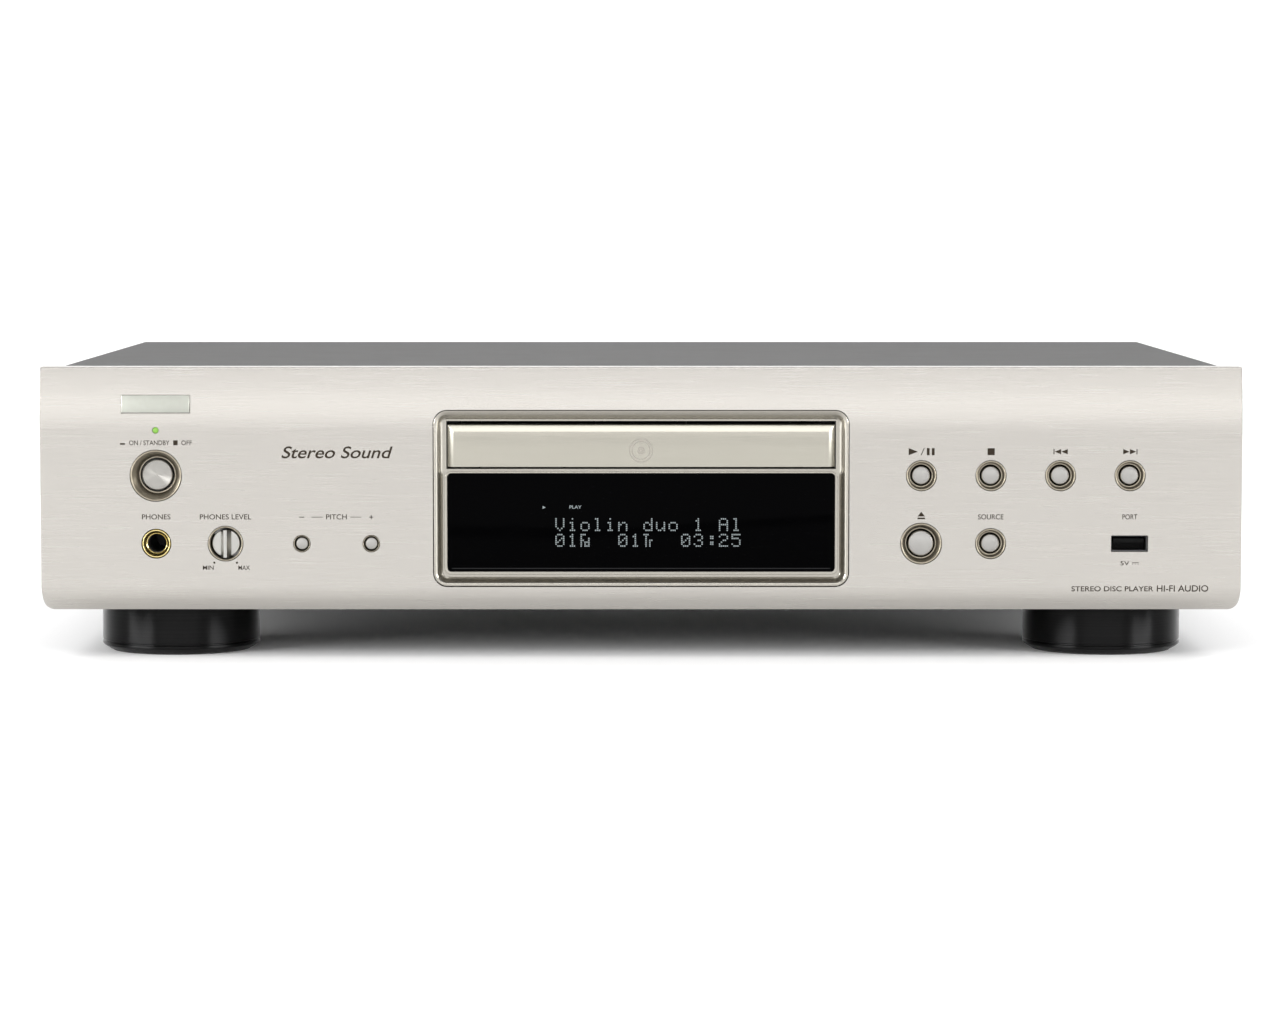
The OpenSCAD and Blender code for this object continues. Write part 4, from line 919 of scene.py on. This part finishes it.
def build_cover():
    """One folded sheet: an inverted U with soft bends, and a lip across its rear."""
    sheet, bend = 1 * MM, 2 * MM
    half = cover_high.x
    floor, top, back = cover_low.z, cover_high.z, cover_high.y
    outer = softened([(-half, floor), (-half, top), (half, top), (half, floor)], [0, bend, bend, 0], 8)
    inside, under = half - sheet, top - sheet
    inner = softened([(inside, floor), (inside, under), (-inside, under), (-inside, floor)],
                     [0, bend - sheet, bend - sheet, 0], 8)
    section = outer + inner
    mesh = bmesh.new()
    rings = []
    # The outside is drawn in a little at the front edge and rounded at the rear one.
    for inset, y in ((0.12 * MM, cover_low.y), (0, cover_low.y + 0.15 * MM), (0, back - 0.5 * MM),
                     (0.25 * MM, back - 0.12 * MM), (0.4 * MM, back)):
        ring = []
        for i, (x, z) in enumerate(section):
            pull = inset if i < len(outer) else 0
            ring.append((x - math.copysign(pull, x), y, z - pull if z > floor + MM else z))
        rings.append(ring)
    loft(mesh, rings)
    lip = bmesh.new()
    bevelled_box(lip, (-inside, back - sheet, top - 9.5 * MM), (inside, back, top - sheet * 0.6), 0.2 * MM)
    join(mesh, lip)
    stands_for(place("cover_sheet", mesh, cover_paint, "root", 35), "top_cover")


build_cover()

# ---- Feet ----

FOOT_R = 29.2 * MM


def build_feet():
    """Four turned cups with a groove near the floor, and the ring-shaped pads under them, in millimetres."""
    pads = bmesh.new()
    low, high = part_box("foot_cups")
    r, base, top = FOOT_R / MM, low.z / MM, high.z / MM
    seat, post_r, screw_r, head_r, pad_in, pad_high = 5.5, 11, 2.2, 7.5, 12, 1.7
    groove, head_z = r - 0.4, 8
    cup = [(r - 3.4, pad_high), (r - 3.4, base), (r - 2.4, base), (r, 2.3), (r, 3.3),
           (groove, 3.5), (groove, 3.9), (r, 4.1), (r, top), (r - 2.2, top), (r - 2.2, seat),
           (post_r, seat), (post_r, top), (screw_r, top), (screw_r, head_z), (head_r, head_z),
           (head_r, base), (pad_in, base), (pad_in, pad_high)]
    radii = [0, 0.1, 0.9, 0.7, 0.12, 0.1, 0.1, 0.12, 0.3, 0.1, 0, 0, 0, 0, 0.1, 0.1, 0.3, 0.2, 0]
    pad = [(pad_in + 0.1, 0), (r - 3.5, 0), (r - 3.5, pad_high), (pad_in + 0.1, pad_high)]
    left, right, front, rear = low.x + FOOT_R, high.x - FOOT_R, low.y + FOOT_R, high.y - FOOT_R
    for corner, (x, y) in {"front_left": (left, front), "front_right": (right, front),
                           "rear_left": (left, rear), "rear_right": (right, rear)}.items():
        mesh = bmesh.new()
        revolve_closed(mesh, (x, y, 0), in_metres(cup, radii), 160, "Z")
        foot = place("foot_" + corner, mesh, foot_gloss, "root", 35)
        if corner == "front_left":
            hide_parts("foot_cups")
        revolve_closed(pads, (x, y, 0), in_metres(pad, [0.25, 0.25, 0, 0], 3), 128, "Z")
    stands_for(place("feet_pads", pads, foot_rubber, "root", 35), "foot_pads")


build_feet()

# ---- Printed labels ----


CAPITAL = 0.73  # height of a capital as a share of the font's size
LETTERS = 1.9 * MM  # height of the capitals beside most fittings


def printed(piece):
    """Ink that rides on the front panel."""
    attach(piece, "root")
    return piece


def label(text, x, z, height, width=None, weight=0.022 * MM):
    """Generic wording, centred on x, z, with capitals of the given height, fitted to the given width."""
    data = bpy.data.curves.new("label_" + "".join(c for c in text.lower() if c.isalnum()), "FONT")
    data.body = text
    data.align_x = "CENTER"
    data.align_y = "CENTER"
    data.size = height / CAPITAL
    data.extrude = PRINT / 2
    data.offset = weight
    piece = bpy.data.objects.new(data.name, data)
    bpy.context.scene.collection.objects.link(piece)
    bpy.context.view_layer.update()
    squeeze = width / piece.dimensions.x if width else 1
    piece.rotation_euler = (math.pi / 2, 0, 0)
    piece.scale = (squeeze, 1, 1)
    piece.location = (x, FACE - PRINT / 2, z)
    bpy.context.view_layer.update()
    data = bpy.data.meshes.new_from_object(piece.evaluated_get(bpy.context.evaluated_depsgraph_get()))
    data.transform(piece.matrix_world)
    name = piece.name
    bpy.data.objects.remove(piece)
    mesh_piece = bpy.data.objects.new(name, data)
    bpy.context.scene.collection.objects.link(mesh_piece)
    data.materials.clear()
    data.materials.append(ink)
    return printed(mesh_piece)


def slant(piece, lean):
    """Leans the letters of a printed label to the right."""
    base = min(v.co.z for v in piece.data.vertices)
    for v in piece.data.vertices:
        v.co.x += (v.co.z - base) * lean


def sign(name, shapes):
    """Filled polygons of (x, z) points, printed on the panel."""
    mesh = bmesh.new()
    for points in shapes:
        loft(mesh, [[(x, y, z) for x, z in points] for y in (FACE - PRINT, FACE + 0.05 * MM)])
    return printed(place(name, mesh, ink))


def bar(x0, x1, z0, z1):
    """A filled rectangle between two corners."""
    return [(x0, z0), (x1, z0), (x1, z1), (x0, z1)]


def arrow(x, z, w, h):
    """A triangle that points to +X for positive w."""
    return [(x - w / 2, z - h / 2), (x + w / 2, z), (x - w / 2, z + h / 2)]


def dot(x, z, r, n=20):
    """A filled circle."""
    return [(x + r * math.cos(2 * math.pi * i / n), z + r * math.sin(2 * math.pi * i / n)) for i in range(n)]


def shapes_about(x, z, shapes):
    """Shapes drawn in millimetres about the origin, moved to x, z."""
    return [[(x + a * MM, z + b * MM) for a, b in shape] for shape in shapes]


PLAY_X, STOP_X = middle("play_button").x, middle("stop_button").x
PREVIOUS_X = middle("previous_button").x
DOWN_X, UP_X = middle("pitch_down_button").x, middle("pitch_up_button").x
SIGN_Z = UPPER_Z + 8.7 * MM
WORD_Z = LOWER_Z + 9.6 * MM


def build_signs():
    """The generic signs of the controls, each drawn about its own button."""
    slash = [(-0.3, -1.3), (0, -1.3), (1.1, 1.3), (0.8, 1.3)]
    play = [arrow(-3.0, 0, 3.3, 2.6), bar(1.9, 2.9, -1.3, 1.3), bar(3.7, 4.7, -1.3, 1.3), slash]
    sign("sign_play", shapes_about(PLAY_X, SIGN_Z, play))
    sign("sign_stop", shapes_about(STOP_X, SIGN_Z, [bar(-1.3, 1.3, -1.25, 1.25)]))
    previous = [bar(-2.6, -2.25, -0.95, 0.95), arrow(-1.0, 0, -2.3, 1.9), arrow(1.4, 0, -2.3, 1.9)]
    sign("sign_previous", shapes_about(PREVIOUS_X, SIGN_Z, previous))
    following = [bar(2.25, 2.6, -0.95, 0.95), arrow(1.0, 0, 2.3, 1.9), arrow(-1.4, 0, 2.3, 1.9)]
    sign("sign_next", shapes_about(RIGHT_X, SIGN_Z, following))
    eject = [[(-1.35, -0.35), (1.35, -0.35), (0, 1.35)], bar(-1.35, 1.35, -1.35, -0.75)]
    sign("sign_eject", shapes_about(PLAY_X, LOWER_Z + 10.2 * MM, eject))
    minus = [bar(-0.9, 0.9, -0.14, 0.14), bar(3.6, 7.6, -0.1, 0.1)]
    plus = [bar(-0.7, 0.7, -0.15, 0.15), bar(-0.15, 0.15, -0.7, 0.7), bar(-7.6, -3.6, -0.1, 0.1)]
    sign("sign_pitch", shapes_about(DOWN_X, WORD_Z, minus) + shapes_about(UP_X, WORD_Z, plus))
    supply = [bar(1.0, 3.4, 0.2, 0.4)] + [bar(d, d + 0.5, -0.3, -0.1) for d in (1.0, 1.95, 2.9)]
    sign("sign_port", shapes_about(RIGHT_X, PORT_NOTE_Z, supply))
    sign("sign_level", shapes_about(KNOB_X, LOWER_Z, [dot(-4.1, -6.9, 0.4), dot(4.1, -6.9, 0.4)]))
    power = [bar(-12.8, -11.0, 11.2, 11.8), bar(6.4, 8.0, 11.0, 12.8)]
    sign("sign_power", shapes_about(LEFT_X, UPPER_Z, power))


PORT_NOTE_Z = 36.0 * MM
POWER_WORD_Z = UPPER_Z + 11.8 * MM
LEVEL_WORD_Z = LOWER_Z - 8.8 * MM


def build_labels():
    """The generic wording, each with the width it is fitted to."""
    label("SOURCE", STOP_X, WORD_Z, LETTERS, 9.2 * MM)
    label("PORT", RIGHT_X, WORD_Z, LETTERS, 5.4 * MM)
    label("PHONES", LEFT_X, WORD_Z, LETTERS, 10.3 * MM)
    label("PHONES LEVEL", KNOB_X, WORD_Z, LETTERS, 18.6 * MM)
    label("PITCH", (DOWN_X + UP_X) / 2, WORD_Z, LETTERS, 7.5 * MM)
    label("STEREO DISC PLAYER", 170.4 * MM, 26.7 * MM, LETTERS, 29.6 * MM)
    label("HI-FI AUDIO", 195.8 * MM, 26.8 * MM, 2.4 * MM, 18.6 * MM)
    label("5V", RIGHT_X - 1.7 * MM, PORT_NOTE_Z, 1.5 * MM, 3.2 * MM)
    slant(label("Stereo Sound", -110.4 * MM, 76.0 * MM, 4.4 * MM, 39 * MM, 0.06 * MM), 0.32)
    word = label("PLAY", -23.8 * MM, 56.3 * MM, 1.2 * MM, 4.4 * MM)
    word.data.materials[0] = dots_lit
    word.data.transform(Matrix.Translation((0, glass_low.y - FACE, 0)))
    label("MIN", KNOB_X - 6.3 * MM, LEVEL_WORD_Z, 1.6 * MM, 3.9 * MM)
    label("MAX", KNOB_X + 6.6 * MM, LEVEL_WORD_Z, 1.6 * MM, 4.2 * MM)
    label("ON / STANDBY", LEFT_X - 2.3 * MM, POWER_WORD_Z, 1.75 * MM, 14.6 * MM)
    label("OFF", LEFT_X + 11.2 * MM, POWER_WORD_Z, 1.75 * MM, 3.8 * MM)


build_signs()
build_labels()

# ---- Materials of the CAD nodes that stay ----

KEPT = {
    chassis_paint: ["chassis_base"],
    sheet_zinc: ["rear_panel", "clamper_bridge"],
    black_plastic: ["sub_panel", "headphone_jack", "power_inlet", "optical_jack", "remote_jacks",
                    "loader_frame", "clamper", "turntable"],
    tube_glass: ["display_tube"],
    board_green: ["front_boards", "power_board", "main_board"],
    chip_black: ["tact_switches", "main_board_parts"],
    steel: ["level_potentiometer", "foot_screws", "transformer", "loader_motor", "deck_motors", "guide_rods"],
    white_plastic: ["power_switch", "rca_jack_block", "motor_pulley", "pulley_gear", "drive_gear",
                    "cam_slider", "sled_gear"],
    screw_black: ["case_screws"],
    gold: ["rca_jack_shells"],
    cable_white: ["ribbon_cables"],
    belt_rubber: ["drive_belt"],
    tray_plastic: ["disc_tray"],
    deck_grey: ["deck_frame", "pickup_sled"],
    lens_blue: ["objective_lens"],
}
for material, nodes in KEPT.items():
    for node in nodes:
        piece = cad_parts[node]
        piece.data.materials.clear()
        piece.data.materials.append(material)
        tidy_shading(piece)

# ---- Floor, light ----


def build_stage():
    """A pale floor that curves up into a wall behind the player."""
    mesh = bmesh.new()
    wide, near, far, tall, bend, steps = 6, -4, 2.2, 4, 0.8, 16
    angles = [math.pi / 2 * i / steps for i in range(steps + 1)]
    curve = [(far - bend + bend * math.sin(a), bend - bend * math.cos(a)) for a in angles]
    outline = [(near, 0)] + curve + [(far, tall)]
    loft(mesh, [[(x, y, z) for y, z in outline] for x in (-wide, wide)], close=False, cap=False)
    pale = Shader("stage_pale", (0.93, 0.93, 0.93), 0.9)
    pale.roughen(pale.spread(pale.noise(3), 0.85, 0.95))
    stage = place("stage", mesh, pale.material, None, 60)


def softbox(name, position, target, size, power):
    """A white rectangular light of the given watts, aimed at the target."""
    data = bpy.data.lights.new(name, "AREA")
    data.shape = "RECTANGLE"
    data.size, data.size_y = size
    data.energy = power
    light = bpy.data.objects.new(name, data)
    light.location = position
    light.rotation_euler = (Vector(target) - Vector(position)).to_track_quat("-Z", "Y").to_euler()
    bpy.context.scene.collection.objects.link(light)


build_stage()
softbox("top_front", (0, -1.35, 1.45), (0, -0.1, 0.05), (1.8, 0.6), 11)
softbox("left_front", (-1.55, -1.0, 0.45), (-0.17, -0.1, 0.03), (1.15, 0.5), 38)
softbox("right_front", (1.6, -1.0, 0.45), (0.17, -0.1, 0.03), (0.95, 0.5), 34)
softbox("low_front", (0, -3.1, 0.55), (0, -0.1, 0.05), (3.4, 0.85), 18)
softbox("high_front", (0, -2.7, 1.25), (0, -0.1, 0.05), (3.0, 0.6), 9)
softbox("top_back", (0, 0.7, 1.6), (0, 0, 0), (2.4, 0.8), 9)
softbox("wall", (0, 0.4, 2.6), (0, 2.2, 0.4), (4.0, 0.6), 38)
world = bpy.data.worlds.new("studio")
world.use_nodes = True
world.node_tree.nodes["Background"].inputs["Color"].default_value = (1, 1, 1, 1)
world.node_tree.nodes["Background"].inputs["Strength"].default_value = 0.30
bpy.context.scene.world = world
bpy.context.scene.view_settings.view_transform = "Standard"
